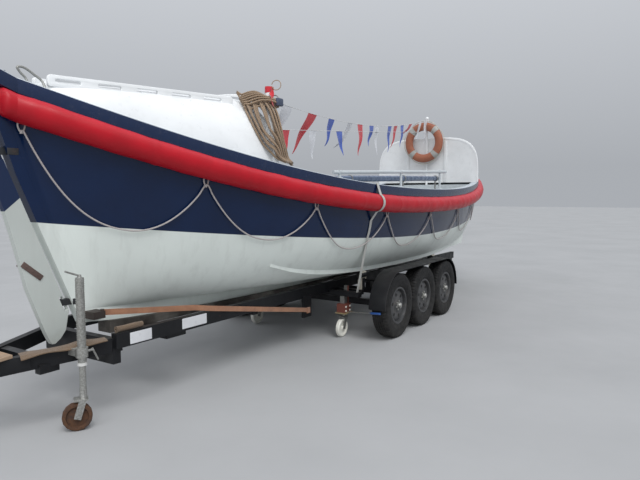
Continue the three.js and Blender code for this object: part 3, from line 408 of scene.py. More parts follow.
def eased(node, finishes, width, body=ROOT, segments=2, choose=None):
    """A CAD node's own solid with its seams welded, its flat faces joined and its edges eased by
    a bevel. choose(centres) may give each face its material number. It gets the faces' centres
    in metres from the boat's origin."""
    bm = bmesh.new()
    bm.from_mesh(NODES[node].data)
    bmesh.ops.remove_doubles(bm, verts=bm.verts, dist=SAME_CAD_POINT)
    bmesh.ops.dissolve_limit(bm, angle_limit=math.radians(0.6), verts=bm.verts, edges=bm.edges)
    mesh = mesh_from(bm, node + "_eased")
    numbers = np.zeros(len(mesh.polygons), np.int32)
    if choose:
        centres = np.empty(len(mesh.polygons) * 3)
        mesh.polygons.foreach_get("center", centres)
        numbers = np.asarray(choose(centres.reshape(-1, 3) - SHIFT), np.int32)
    mesh.polygons.foreach_set("material_index", numbers)
    thing = dressed(node + "_eased", mesh, finishes, 30, body, [node])
    bevel = thing.modifiers.new("edges", "BEVEL")
    bevel.width, bevel.segments, bevel.limit_method = width, segments, "ANGLE"
    bevel.angle_limit, bevel.use_clamp_overlap = math.radians(32), True
    bevel.harden_normals = True
    return thing


# Finishes
def shade(base, factor):
    """A colour with each of its parts multiplied by a factor."""
    return tuple(c * factor for c in base)


class Finish:
    """A material whose nodes are added one at a time. A value that is a socket is linked and any
    other is set. Each method but give and set returns a socket, and done the material."""

    def __init__(self, name, **shader):
        self.material = bpy.data.materials.new(name)
        self.material.use_nodes = True
        self.nodes = self.material.node_tree.nodes
        self.links = self.material.node_tree.links
        self.shader = self.nodes["Principled BSDF"]
        self.set(self.shader, **shader)
        coords = self.nodes.new("ShaderNodeTexCoord")
        self.at, self.uv = coords.outputs["Object"], coords.outputs["UV"]
        self.normal = coords.outputs["Normal"]

    def give(self, socket, value):
        """Links a value that is a socket, and sets any other. A colour gets a full fourth part."""
        if isinstance(value, bpy.types.NodeSocket):
            self.links.new(value, socket)
        elif socket.type == "RGBA":
            socket.default_value = (*tuple(value)[:3], 1)
        else:
            socket.default_value = value

    def set(self, node, **values):
        """Gives a node's inputs their values, by name with spaces as low lines."""
        for key, value in values.items():
            self.give(node.inputs[key.replace("_", " ")], value)

    def noise(self, scale, detail=4, roughness=0.55, where=None, distortion=0.0):
        """Cloudy noise, from nought to one."""
        node = self.nodes.new("ShaderNodeTexNoise")
        self.set(node, Vector=where or self.at, Scale=scale, Detail=detail, Roughness=roughness,
                 Distortion=distortion)
        return node.outputs["Fac"]

    def stretched(self, sizes, where=None):
        """Coordinates multiplied by a size along each axis."""
        node = self.nodes.new("ShaderNodeMapping")
        self.set(node, Vector=where or self.at, Scale=sizes)
        return node.outputs["Vector"]

    def cells(self, scale):
        """Distance to the nearest of scattered points."""
        node = self.nodes.new("ShaderNodeTexVoronoi")
        self.set(node, Vector=self.at, Scale=scale)
        return node.outputs["Distance"]

    def wave(self, scale, where, along, profile="SIN"):
        """Even bands across one axis."""
        node = self.nodes.new("ShaderNodeTexWave")
        node.bands_direction, node.wave_profile = along, profile
        self.set(node, Vector=where, Scale=scale, Distortion=0.0)
        return node.outputs["Fac"]

    def maths(self, kind, a, b=0.0):
        """The named sum of one or two numbers."""
        node = self.nodes.new("ShaderNodeMath")
        node.operation = kind
        self.give(node.inputs[0], a)
        self.give(node.inputs[1], b)
        return node.outputs[0]

    def plus(self, a, b):
        """The first number plus the second."""
        return self.maths("ADD", a, b)

    def minus(self, a, b):
        """The first number less the second."""
        return self.maths("SUBTRACT", a, b)

    def times(self, a, b):
        """The first number times the second."""
        return self.maths("MULTIPLY", a, b)

    def part(self, vector, letter):
        """One part of a vector."""
        node = self.nodes.new("ShaderNodeSeparateXYZ")
        self.links.new(vector, node.inputs[0])
        return node.outputs[letter]

    def span(self, value, low, high, to_low=0.0, to_high=1.0):
        """A value's place between low and high, carried to the other two and kept there."""
        node = self.nodes.new("ShaderNodeMapRange")
        self.set(node, Value=value, From_Min=low, From_Max=high, To_Min=to_low, To_Max=to_high)
        return node.outputs["Result"]

    def mix(self, share, a, b):
        """The first colour, with a share of the second in its place."""
        node = self.nodes.new("ShaderNodeMix")
        node.data_type = "RGBA"
        for socket, value in zip((node.inputs[0], node.inputs[6], node.inputs[7]), (share, a, b)):
            self.give(socket, value)
        return node.outputs[2]

    def relief(self, height, strength, distance, below=None):
        """Normals tilted by the slope of a height, over those of another relief if there is one."""
        node = self.nodes.new("ShaderNodeBump")
        self.set(node, Strength=strength, Distance=distance, Height=height)
        if below is not None:
            self.links.new(below, node.inputs["Normal"])
        return node.outputs["Normal"]

    def done(self, **values):
        """The material, with its shader's last values."""
        self.set(self.shader, **values)
        return self.material


# The boot line's least height, its rise and the reach of that, and half the width of a paint edge
BOOT_Z, BOOT_RISE, BOOT_HALF = 1.188, 0.365, 5.22
PAINT_EDGE = 0.0012
# The rudder's paint line: its slope aft and its height at the frame's origin
HEAD_SLOPE, HEAD_Z = 0.834, 5.636


def line_of_paint(f):
    """One above the boot line and nought below it: the line's height is its least plus a rise
    times a power of the distance from amidships."""
    x = f.maths("ABSOLUTE", f.minus(f.part(f.at, "X"), float(SHIFT[0])))
    rise = f.times(f.maths("POWER", f.maths("DIVIDE", x, BOOT_HALF), 1.7), BOOT_RISE)
    over = f.minus(f.part(f.at, "Z"), f.plus(rise, BOOT_Z))
    return f.span(over, -PAINT_EDGE, PAINT_EDGE)


def weathered_bottom(f, base):
    """Pale bottom paint, with broad clouds, thin drips down the planks and some grey scuffs."""
    clouds = f.span(f.noise(1.4, 5), 0.35, 0.7)
    drips = f.span(f.noise(1.0, 4, 0.6, f.stretched((9, 9, 0.8))), 0.5, 0.78)
    tone = f.mix(clouds, base, shade(base, 0.9))
    return f.mix(f.times(drips, 0.35), tone, (0.43, 0.45, 0.42))


def hull_paint(colours):
    """Gloss topsides over a satin bottom, with the faint seams of fair planking."""
    f = Finish("hull_paint", Coat_Weight=0.06, Coat_Roughness=0.06, Specular_IOR_Level=0.32)
    above = line_of_paint(f)
    blue = f.mix(f.span(f.noise(2.2, 6), 0.3, 0.75), tuple(colours.topsides),
                 shade(colours.topsides, 0.72))
    scuffs = f.span(f.noise(26, 5, 0.7, f.stretched((0.35, 1, 2.2))), 0.66, 0.8)
    blue = f.mix(f.times(scuffs, 0.12), blue, (0.2, 0.24, 0.33))
    pale = weathered_bottom(f, tuple(colours.bottom))
    rough = f.plus(f.span(f.noise(7, 4), 0.3, 0.7, 0.14, 0.26), f.span(above, 0, 1, 0.3, 0))
    seam = f.span(f.wave(3.6, f.uv, "Y", "SAW"), 0.0, 0.03)
    fair = f.relief(f.noise(3.5, 2), 0.35, 0.004)
    return f.done(Base_Color=f.mix(above, pale, blue), Roughness=rough,
                  Normal=f.relief(seam, 0.25, 0.0006, fair))


def rudder_paint(colours):
    """White blade with a blue head above a line that slopes down and aft."""
    f = Finish("rudder_paint", Specular_IOR_Level=0.5)
    line = f.plus(f.times(f.part(f.at, "X"), HEAD_SLOPE), HEAD_Z)
    above = f.span(f.minus(f.part(f.at, "Z"), line), -PAINT_EDGE, PAINT_EDGE)
    pale = weathered_bottom(f, shade(colours.bottom, 0.7))
    low = f.span(f.plus(f.part(f.at, "Z"), f.times(f.noise(14, 5), 0.14)), 0.62, 0.74, 1, 0)
    pale = f.mix(f.times(low, 0.45), pale, (0.24, 0.23, 0.19))
    grain = f.noise(60, 3, 0.6, f.stretched((1, 1, 0.06)))
    return f.done(Base_Color=f.mix(above, pale, tuple(colours.topsides)),
                  Roughness=f.span(f.noise(9, 4), 0.3, 0.7, 0.3, 0.5),
                  Normal=f.relief(grain, 0.2, 0.0008))


def paint(name, base, rough=(0.3, 0.5), grime=(0.3, 0.3, 0.28), share=0.25, coat=0.0):
    """Brushed paint: two tones in broad clouds, grime in fine ones, brush marks in the relief."""
    f = Finish(name, Coat_Weight=coat, Coat_Roughness=0.1)
    tone = f.mix(f.span(f.noise(2.4, 4), 0.3, 0.7), base, shade(base, 0.88))
    dirt = f.span(f.noise(15, 6, 0.65), 0.52, 0.8)
    brush = f.noise(80, 3, 0.5, f.stretched((0.15, 1, 1)))
    return f.done(Base_Color=f.mix(f.times(dirt, share), tone, grime),
                  Roughness=f.span(f.noise(18, 4), 0.3, 0.7, *rough),
                  Normal=f.relief(brush, 0.12, 0.0006))


def painted_canvas(colours):
    """Thickly painted canvas on a padded roll: a fine weave, and a painted highlight on the faces
    that point up.
    """
    f = Finish("fender_canvas", Specular_IOR_Level=0.3, Coat_Weight=0.08, Coat_Roughness=0.25)
    # Faces that point up are made paler: a painted highlight of the light from above.
    up = f.span(f.part(f.normal, "Z"), 0.35, 0.95)
    red = tuple(colours.fender)
    worn = f.mix(f.span(f.noise(5, 6), 0.35, 0.75), red, shade(red, 0.8))
    sky_highlight = f.mix(f.times(up, 0.3), worn, (0.75, 0.07, 0.1))
    scuff = f.span(f.noise(18, 6, 0.7, f.stretched((0.3, 1, 1))), 0.62, 0.78)
    warp, weft = f.wave(420, f.uv, "X"), f.wave(420, f.uv, "Y")
    weave = f.relief(f.plus(warp, weft), 0.12, 0.0005)
    return f.done(Base_Color=f.mix(f.times(scuff, 0.22), sky_highlight, (0.33, 0.02, 0.03)),
                  Roughness=f.span(f.noise(12, 3), 0.3, 0.7, 0.38, 0.55),
                  Normal=f.relief(f.noise(16, 4), 0.25, 0.003, weave))


def galvanised(name="galvanised", dark=1.0):
    """Zinc with its crystal spangle, dulled in places by white bloom."""
    f = Finish(name, Metallic=0.75)
    spangle = f.cells(90)
    tone = f.mix(f.span(spangle, 0.1, 0.7), shade((0.46, 0.46, 0.44), dark),
                 shade((0.3, 0.3, 0.28), dark))
    bloom = f.span(f.noise(22, 5, 0.65), 0.55, 0.8)
    tone = f.mix(f.times(bloom, 0.5), tone, (0.62, 0.61, 0.57))
    return f.done(Base_Color=tone, Roughness=f.span(f.noise(40, 4), 0.3, 0.7, 0.36, 0.6),
                  Normal=f.relief(f.noise(160, 3), 0.15, 0.0005))


def chassis_paint():
    """Black paint on rolled steel: dust on top faces, chips that show rust, and mill ripple."""
    f = Finish("chassis_paint", Specular_IOR_Level=0.3)
    base = f.mix(f.span(f.noise(3, 5), 0.3, 0.7), (0.004, 0.0045, 0.006), (0.009, 0.0095, 0.011))
    top = f.span(f.part(f.normal, "Z"), 0.6, 1.0)
    dust = f.times(top, f.span(f.noise(9, 6), 0.3, 0.75, 0.08, 0.45))
    base = f.mix(dust, base, (0.05, 0.046, 0.042))
    chips = f.span(f.noise(34, 8, 0.72), 0.66, 0.72)
    return f.done(Base_Color=f.mix(f.times(chips, 0.8), base, (0.12, 0.05, 0.025)),
                  Roughness=f.span(f.noise(8, 5), 0.3, 0.7, 0.32, 0.6),
                  Normal=f.relief(f.noise(45, 5), 0.2, 0.001))


def rubber():
    """Tyre rubber, greyed by road dust towards the ground."""
    f = Finish("tyre_rubber", Specular_IOR_Level=0.35)
    low = f.span(f.part(f.at, "Z"), 0, 0.8, 0.25, -0.1)
    dust = f.span(f.plus(f.noise(14, 6), low), 0.45, 0.95)
    return f.done(Base_Color=f.mix(dust, (0.0054, 0.0054, 0.00585), (0.0315, 0.0297, 0.027)),
                  Roughness=f.span(f.noise(30, 4), 0.3, 0.7, 0.62, 0.85),
                  Normal=f.relief(f.noise(220, 4), 0.3, 0.0006))


def rope(name, base, dark, fuzz=0.4):
    """Laid fibre: fine yarns along each strand, and duller patches."""
    f = Finish(name, Sheen_Weight=0.3, Sheen_Roughness=0.6)
    yarn = f.noise(1, 3, 0.6, f.stretched((60, 1400, 1), f.uv))
    tone = f.mix(f.span(yarn, 0.3, 0.7), base, dark)
    tone = f.mix(f.times(f.span(f.noise(9, 4), 0.4, 0.75), fuzz), tone, shade(base, 0.7))
    return f.done(Base_Color=tone, Roughness=f.span(yarn, 0, 1, 0.75, 0.95),
                  Normal=f.relief(yarn, 0.5, 0.0008))


def woven(name, base, dark, rib, sheen=0.3, rough=0.8):
    """Woven cloth or webbing: crossed ribs on the piece's own map, with stains, and painted shade in
    the hollows of the weave.
    """
    f = Finish(name, Sheen_Weight=sheen, Sheen_Roughness=0.5)
    warp, weft = f.wave(rib, f.uv, "X"), f.wave(rib * 0.8, f.uv, "Y")
    weave = f.plus(warp, weft)
    tone = f.mix(f.span(f.noise(10, 6), 0.35, 0.7), base, dark)
    # Darker where both ribs are low: painted shade in the weave's hollows.
    tone = f.mix(f.span(weave, 0.2, 1.8, 0.25, 0), tone, shade(dark, 0.55))
    return f.done(Base_Color=tone, Roughness=f.span(f.noise(20), 0.3, 0.7, rough - 0.1, rough),
                  Normal=f.relief(weave, 0.35, 0.0006))


def timber(name, base, dark, sizes, worn):
    """Wood: grain drawn out along one axis, with a weathered grey in broad clouds."""
    f = Finish(name)
    grain = f.noise(4, 7, 0.62, f.stretched(sizes), 0.6)
    tone = f.mix(f.span(grain, 0.35, 0.68), base, dark)
    tone = f.mix(f.times(f.span(f.noise(3, 5), 0.4, 0.75), worn), tone, (0.3, 0.28, 0.25))
    return f.done(Base_Color=tone, Roughness=f.span(grain, 0.3, 0.7, 0.55, 0.8),
                  Normal=f.relief(grain, 0.35, 0.0012))


def rusted(name="rusted_iron", bright=1.0):
    """Iron under flaking rust: brown and orange scales over dark metal."""
    f = Finish(name, Metallic=0.15)
    scales = f.noise(38, 8, 0.7)
    tone = f.mix(f.span(scales, 0.35, 0.65), shade((0.09, 0.045, 0.028), bright),
                 shade((0.2, 0.095, 0.045), bright))
    tone = f.mix(f.span(f.noise(7, 5), 0.55, 0.75, 0, 0.7), tone, (0.05, 0.035, 0.03))
    return f.done(Base_Color=tone, Roughness=f.span(scales, 0.3, 0.7, 0.72, 0.95),
                  Normal=f.relief(scales, 0.6, 0.0015))


def pile():
    """Short-looped carpet, trodden, with a painted highlight on its loops."""
    f = Finish("carpet_pile", Sheen_Weight=0.15, Sheen_Roughness=0.7)
    loops = f.cells(420)
    tone = f.mix(f.span(f.noise(12, 6), 0.35, 0.7), (0.13, 0.075, 0.036), (0.07, 0.042, 0.024))
    # The loops' pattern lightens the colour: a painted highlight on the pile.
    tone = f.mix(f.span(loops, 0.2, 0.8), tone, (0.17, 0.11, 0.06))
    return f.done(Base_Color=tone, Roughness=f.span(loops, 0, 1, 0.85, 1.0),
                  Normal=f.relief(loops, 0.8, 0.0025))


# Sizes and colours that a user would change
def colour(name, description, value):
    """A colour that the panel shows."""
    return bpy.props.FloatVectorProperty(name=name, description=description, subtype="COLOR",
                                         size=3, default=value, min=0, max=1)


def length(name, description, value):
    """A length in metres that the panel shows."""
    return bpy.props.FloatProperty(name=name, description=description, subtype="DISTANCE",
                                   unit="LENGTH", default=value, min=0.001, max=20)


class LifeboatColours(bpy.types.PropertyGroup):
    """Paint and cloth colours of the boat."""
    topsides: colour("Topsides", "Gloss paint over the boot line", (0.0012, 0.0135, 0.057))
    bottom: colour("Bottom", "Paint under the boot line", (0.72, 0.77, 0.73))
    fender: colour("Fender", "Canvas of the padded fender", (0.47, 0.003, 0.013))
    boxes: colour("End boxes", "Paint of the end boxes", (0.84, 0.855, 0.86))
    capping: colour("Capping", "Paint on top of the gunwale", (0.50, 0.55, 0.60))
    manila: colour("Manila", "Natural rope of the hank", (0.36, 0.245, 0.15))


class LifeboatSizes(bpy.types.PropertyGroup):
    """Sizes of the boat's soft and small pieces."""
    fender_radius: length("Fender radius", "Radius of the padded roll", 0.102)
    line_radius: length("Life line radius", "Half the life line's diameter", 0.008)
    hank_radius: length("Hank rope radius", "Half the diameter of the hank's rope", 0.012)
    pennant_width: length("Pennant width", "Width of a pennant along its string", 0.17)
    pennant_length: length("Pennant length", "Drop of a pennant", 0.34)


# Camera and stage, in metres of the frame
CAMERA_PLACE = (-6.97781, -4.086, 1.718)
CAMERA_YAW, CAMERA_PITCH = 0.57, -0.078
FOCAL_PIXELS, PICTURE_PIXELS, SENSOR = 558.6, 640, 36
FLOOR_HALF = 90
SKY_LOW, SKY_HIGH = (0.40, 0.42, 0.45), (0.80, 0.83, 0.88)
SUN = {"name": "key", "energy": 1.7, "angle": 0.6, "place": (-6, -9, 15), "aim": (0, 0, 0)}
LAMP = {"name": "fill", "energy": 260, "size": 9.0, "place": (-12, -3, 6), "aim": (0, 0, 1)}


def aimed(name, data, place, way):
    """A camera or lamp at a place, looking along a direction."""
    thing = bpy.data.objects.new(name, data)
    thing.location = place
    thing.rotation_euler = way.to_track_quat("-Z", "Y").to_euler()
    bpy.context.scene.collection.objects.link(thing)
    return thing


def add_camera(scene):
    """The photograph's camera."""
    data = bpy.data.cameras.new("camera")
    data.sensor_width, data.lens = SENSOR, FOCAL_PIXELS * SENSOR / PICTURE_PIXELS
    data.clip_start, data.clip_end = 0.05, 400
    level = math.cos(CAMERA_PITCH)
    look = Vector((level * math.cos(CAMERA_YAW), level * math.sin(CAMERA_YAW),
                   math.sin(CAMERA_PITCH)))
    scene.camera = aimed("camera", data, CAMERA_PLACE, look)


def add_floor(scene):
    """A flat grey floor."""
    reach = np.linspace(-FLOOR_HALF, FLOOR_HALF, 5)
    x, y = np.meshgrid(reach, reach, indexing="ij")
    f = Finish("floor", Specular_IOR_Level=0.2)
    tone = f.mix(f.span(f.noise(0.6, 4), 0.3, 0.7), (0.36, 0.365, 0.37), (0.40, 0.405, 0.41))
    rough = f.span(f.noise(4), 0.3, 0.7, 0.75, 0.9)
    floor = bpy.data.objects.new("floor", surface(np.stack([x, y, x * 0], 2)))
    floor.data.materials.append(f.done(Base_Color=tone, Roughness=rough))
    scene.collection.objects.link(floor)


def add_sky(scene):
    """A world that is a little brighter overhead than at the horizon."""
    world = bpy.data.worlds.new("studio")
    world.use_nodes = True
    tree = world.node_tree
    coords = tree.nodes.new("ShaderNodeTexCoord")
    parts = tree.nodes.new("ShaderNodeSeparateXYZ")
    ramp = tree.nodes.new("ShaderNodeMapRange")
    tint = tree.nodes.new("ShaderNodeMix")
    tint.data_type = "RGBA"
    ramp.inputs["From Min"].default_value, ramp.inputs["From Max"].default_value = 0.05, 0.7
    tint.inputs[6].default_value, tint.inputs[7].default_value = (*SKY_LOW, 1), (*SKY_HIGH, 1)
    tree.links.new(coords.outputs["Generated"], parts.inputs[0])
    tree.links.new(parts.outputs["Z"], ramp.inputs["Value"])
    tree.links.new(ramp.outputs["Result"], tint.inputs[0])
    tree.links.new(tint.outputs[2], tree.nodes["Background"].inputs["Color"])
    tree.nodes["Background"].inputs["Strength"].default_value = 1.0
    scene.world = world


class LIFEBOAT_OT_camera(bpy.types.Operator):
    """Camera, floor and light"""
    bl_idname = "lifeboat.camera"
    bl_label = "Camera and stage"

    def execute(self, context):
        add_camera(context.scene)
        add_floor(context.scene)
        add_sky(context.scene)
        sun = bpy.data.lights.new(SUN["name"], "SUN")
        sun.energy, sun.angle = SUN["energy"], SUN["angle"]
        lamp = bpy.data.lights.new(LAMP["name"], "AREA")
        lamp.energy, lamp.shape, lamp.size = LAMP["energy"], "DISK", LAMP["size"]
        for light, put in ((sun, SUN), (lamp, LAMP)):
            aimed(put["name"], light, put["place"], Vector(put["aim"]) - Vector(put["place"]))
        context.scene.view_settings.view_transform = "Standard"
        return {"FINISHED"}


# Life lines
EYES = np.array([-5060, -3780, -2550, -1280, 0, 1280, 2550, 3780, 5040], float)
DIPS = np.array([550, 400, 415, 400, 400, 400, 400, 480], float)
EYE_DROP = 350
STRAP_X = -1600


def looped_line(radius):
    """Course of the port life line. Between two eyes it hangs by the loop's dip, times one less a
    power of the distance from the loop's middle. It lies off the planking, and further off at the
    posts and over the tie-down strap."""
    f = np.linspace(0, 1, 21)[None, :-1]
    x = EYES[:-1, None] + np.diff(EYES)[:, None] * f
    eye_z = sheer(EYES) - EYE_DROP
    z = eye_z[:-1, None] + np.diff(eye_z)[:, None] * f
    z = z - DIPS[:, None] * (1 - np.abs(2 * f - 1) ** 2.2)
    x, z = np.append(x.ravel(), EYES[-1]), np.append(z.ravel(), eye_z[-1])
    strap = 9 * np.exp(-((x - STRAP_X) / 160) ** 2)
    off = radius / MM + 9 + 18 * np.abs(x / HALF) ** 3 + strap
    return np.stack([x, half_at(x, z) + off * 1.05, z], 1)


def line_eye(x, side):
    """A spliced eye of line, drawn out downwards, with its zinc base and the seizing under it."""
    z = float(sheer(x)) - EYE_DROP
    y = float(half_at(x, z)) + 13
    a = around(28)
    eye = np.stack([x + 27 * np.sin(a), np.full(len(a), side * (y + 4)),
                    z + 30 - 34 * np.cos(a) - 10 * np.cos(2 * a)], 1)
    base = [[x, side * (y - 16), z + 56], [x, side * (y + 9), z + 56]]
    seizing = [[x, side * (y + 2), z - 24], [x, side * (y + 3), z + 2]]
    return [tube(placed(eye), 0.0062, 8, (0, 1, 0), wrap=True, finish=1),
            tube(placed(base), 0.011, 12),
            tube(placed(seizing), 0.0115, 12, (1, 0, 0), finish=1)]


class LIFEBOAT_OT_lines(bpy.types.Operator):
    """Life lines along both sides, with their eyes"""
    bl_idname = "lifeboat.lines"
    bl_label = "Life lines"

    def execute(self, context):
        radius = context.scene.lifeboat_sizes.line_radius
        white = rope("line_fibre", (0.5, 0.46, 0.45), (0.34, 0.31, 0.3), 0.25)
        zinc = galvanised("eye_zinc")
        for name, side in SIDES:
            line = even(through(placed(looped_line(radius) * [1, side, 1]), 700), 1500)
            body = tube(line, radius, 9, (0, side, 0.3), strands=3, pitch=0.055)
            laid = piece(f"life_line_{name}_laid", [body], [white],
                         stands_for=[f"life_line_{name}"], angle=180)
            eyes = [mesh for x in EYES for mesh in line_eye(x, side)]
            piece(f"life_line_eyes_{name}", eyes, [zinc, white])
        return {"FINISHED"}


# Hull
STATIONS = 231
STATION_GAP = 0.003
OUTER_ROWS = 36
INNER_ROWS = 9


def hull_stations():
    """Shares of the half length, closer towards the posts, with each bulkhead's place twice. The
    second array says which of them are open to the well."""
    t = np.sin(np.linspace(-1, 1, STATIONS) * np.pi / 2)
    a, b, gap = WELL[0] / HALF, WELL[1] / HALF, STATION_GAP
    t = np.concatenate([t[t < a - gap], [a, a], t[(t > a + gap) & (t < b - gap)], [b, b],
                        t[t > b + gap]])
    opened = (t > a) & (t < b)
    inside = np.flatnonzero(opened)
    opened[inside[0] - 1], opened[inside[-1] + 1] = True, True
    return t, opened


def hull_sections():
    """Closed section at each station: up the planking at port, inside it down to the well's deck,
    or level at a closed end, and the same mirrored. A bulkhead is two sections at one station,
    one of them open and one closed."""
    t, opened = hull_stations()
    t, opened = t[:, None], opened[:, None]
    x = t * HALF
    low, high = heel(t), sheer(x) - CAP_THICK
    z = low + (np.linspace(0, 1, OUTER_ROWS) ** 1.25)[None, :] * (high - low)
    outer = np.stack([hull_x(t, z), hull_half(t, z), z], 2)
    xs = np.repeat(x, INNER_ROWS, 1)
    share = np.broadcast_to(np.linspace(1, 0, INNER_ROWS)[None, :], xs.shape)
    shut = np.maximum(hull_half(t, high) - WALL, 4) * share
    inner = np.stack([xs, np.where(opened, well_half(xs, share), shut),
                      np.where(opened, DECK_Z + share * (high - DECK_Z), high)], 2)
    middle = np.stack([x, x * 0, np.where(opened, DECK_Z, high)], 2)
    port = np.concatenate([outer, inner, middle], 1)
    return np.concatenate([port, port[:, -2::-1] * (1, -1, 1)], 1)


class LIFEBOAT_OT_hull(bpy.types.Operator):
    """Planked hull with its well"""
    bl_idname = "lifeboat.hull"
    bl_label = "Hull"

    def execute(self, context):
        ring = placed(hull_sections())
        rows, count = ring.shape[:2]
        column = np.ones(count, int)
        column[:OUTER_ROWS - 1] = 0
        column[count - OUTER_ROWS:] = 0
        skin = surface(ring, wrap_v=True, columns=column)
        j = np.arange(count // 2)
        caps = []
        for row in (0, rows - 1):
            port, starboard = row * count + j, row * count + count - 1 - j
            caps += np.stack([port, port + 1, starboard - 1, starboard], 1).tolist()
        shut_ends = mesh_of(ring.reshape(-1, 3), caps)
        inside = paint("well_paint", (0.55, 0.6, 0.62), (0.4, 0.6), share=0.4)
        piece("hull_planking", [skin, shut_ends],
              [hull_paint(context.scene.lifeboat_colours), inside],
              stands_for=["hull", "topside_port", "topside_starboard"])
        return {"FINISHED"}


# Gunwales and fenders
CAPPING_SECTION = [[-50, -39], [1.2, -39], [1.2, -112], [60, -112], [60, 0], [-50, 0]]
CAPPING_ROWS = 420
FENDER_ROWS = 640
FENDER_STANDOFF = 50
BAND_SPACING = 760


def strip(reach, outline, n):
    """A section carried along the sheer: [outward, up] from the edge, square to the plan curve.
    Beyond the planking's ends the sheer runs on at its last slope."""
    x = np.linspace(-reach, reach, n)[:, None]
    slope = (plan_half(x + 4) - plan_half(x - 4)) / 8
    run = np.hypot(1, slope)
    out, up = np.asarray(outline, float)[..., 0], np.asarray(outline, float)[..., 1]
    px = x - slope / run * out
    past = np.maximum(0, np.abs(px) - HALF) * ends(px, *SHEER_END_SLOPE)
    return np.stack([px, np.maximum(POST_HALF + 1, plan_half(x) + out / run),
                     sheer(px) + past + up], 2)


def fender_roll(radius):
    """Port fender: a round section that swells a little over each band of its lashing, has two
    slow ripples, closes by a quarter circle at its ends and stays outside the planking."""
    x = np.linspace(-REACH, REACH, FENDER_ROWS)[:, None]
    angle = np.linspace(-np.pi, np.pi, 37)[None, :-1]
    half_way = BAND_SPACING / 2
    band = np.exp(-(((x + 40) % BAND_SPACING - half_way) / 16) ** 4) * 2.2
    close = np.sqrt(np.clip(1 - (np.maximum(np.abs(x) - REACH + 40, 0) / 41) ** 2, 0.02, 1))
    ripple = 1.6 * np.sin(x / 93) * np.sin(angle * 2 + x / 310) + 1.2 * np.sin(x / 41 + angle)
    r = (radius + band + ripple) * close
    middle = FENDER_STANDOFF - 44 * (np.maximum(0, np.abs(x) - 4850) / 375) ** 2
    section = np.stack([middle + r * np.cos(angle), -FENDER_DROP + r * np.sin(angle)], 2)
    roll = strip(REACH, section, FENDER_ROWS)
    planked = HALF - 15
    skin = half_at(np.clip(roll[..., 0], -planked, planked), roll[..., 2]) + 1.2
    skin = np.where(np.abs(roll[..., 0]) < planked, skin, POST_HALF + 1)
    roll[..., 1] = np.maximum(roll[..., 1], skin)
    return roll


class LIFEBOAT_OT_gunwales(bpy.types.Operator):
    """Gunwale capping and the padded fender under it"""
    bl_idname = "lifeboat.gunwales"
    bl_label = "Gunwales and fenders"

    def execute(self, context):
        colours = context.scene.lifeboat_colours
        edge = rounded(CAPPING_SECTION, 7)
        capping = strip(REACH, np.broadcast_to(edge, (CAPPING_ROWS, len(edge), 2)), CAPPING_ROWS)
        column = np.where((edge[:, 1] + np.roll(edge[:, 1], -1)) / 2 > -9, 0, 1)
        roll = fender_roll(context.scene.lifeboat_sizes.fender_radius / MM)
        top = paint("capping_paint", tuple(colours.capping), (0.3, 0.5), share=0.3)
        blue = paint("strake_paint", tuple(colours.topsides), (0.15, 0.3), share=0.05, coat=0.2)
        canvas = painted_canvas(colours)
        for name, side in SIDES:
            cap = surface(placed(capping * [1, side, 1]), wrap_v=True, caps=True, columns=column)
            piece(f"gunwale_{name}_capping", [cap], [top, blue],
                  stands_for=[f"gunwale_{name}"])
            pad = surface(placed(roll * [1, side, 1]), wrap_v=True, caps=True)
            pad = piece(f"fender_{name}_roll", [pad], [canvas],
                        stands_for=[f"fender_{name}"], angle=60)
        return {"FINISHED"}


# End boxes. A pair is the value at the tip and the one at the bulkhead, but for grow, the rim's
# growth outwards and upwards, and powers, those of the roof's and the rim's arch. rise lifts the
# base over the planking, and drops are the rails' heights under the roof.
Box = namedtuple("Box", "name ends tops insets rise grow powers drops")
BOXES = (
    Box("aft_end_box", (-4870, -3000), (2505, 2640), (60, 60), 0.4, (25, 25), (2.4, 3.0), (6, 88)),
    Box("fore_end_box", (4900, 2790), (2440, 2700), (60, -48), 40.4, (29, 38), (4.0, 4.0),
        (-2, -8)),
)
BOX_EDGE = 45


def arch(x, base, half, top, power):
    """Half a superellipse over the boat's breadth: cosine and sine to two over the power."""
    a = np.linspace(0, np.pi, 61)
    c, s = np.cos(a), np.maximum(0, np.sin(a))
    y, z = np.sign(c) * np.abs(c) ** (2 / power), s ** (2 / power)
    x, base, half, top = (np.asarray(v, float)[..., None] for v in (x, base, half, top))
    return np.stack([x + y * 0, half * y, base + (top - base) * z], -1)


def along(pair, box, x):
    """The straight course between a value at an end box's tip and one at its bulkhead."""
    tip, bulkhead = box.ends
    return pair[0] + (pair[1] - pair[0]) * (x - tip) / (bulkhead - tip)


def box_roof(box, inward):
    """The arched case from its bulkhead to its tip, where a quarter circle rounds its edge."""
    tip, bulkhead = box.ends
    f = np.concatenate([1 - np.cos(np.linspace(0, np.pi / 2, 10)), np.linspace(1.5, 30, 56)]) / 30
    d = np.abs(tip - bulkhead) * f
    x = tip - inward * d
    ease = BOX_EDGE - np.sqrt(np.maximum(
        BOX_EDGE ** 2 - (BOX_EDGE - np.minimum(d, BOX_EDGE)) ** 2, 0))
    shell = arch(x, sheer(x) - CAP_THICK + box.rise, plan_half(x) - along(box.insets, box, x) - ease,
                 along(box.tops, box, x) - ease, box.powers[0])
    return surface(placed(shell), wrap_v=True, caps=True)


def box_rim(box, inward):
    """The raised rim at the bulkhead: a bevelled section of distance and share of its growth."""
    lip = np.array([[-4, 0], [-4, 0.7], [4, 1], [38, 1], [46, 0.7], [46, 0]])
    x, share = box.ends[1] + inward * lip[:, 0], lip[:, 1]
    out, up = box.grow
    bead = arch(x, sheer(x) + 5 + share, plan_half(x) - box.insets[1] - 2 + share * (out + 2),
                box.tops[1] + share * up, box.powers[1])
    return surface(placed(bead.transpose(1, 0, 2)), wrap_v=True, caps=True)


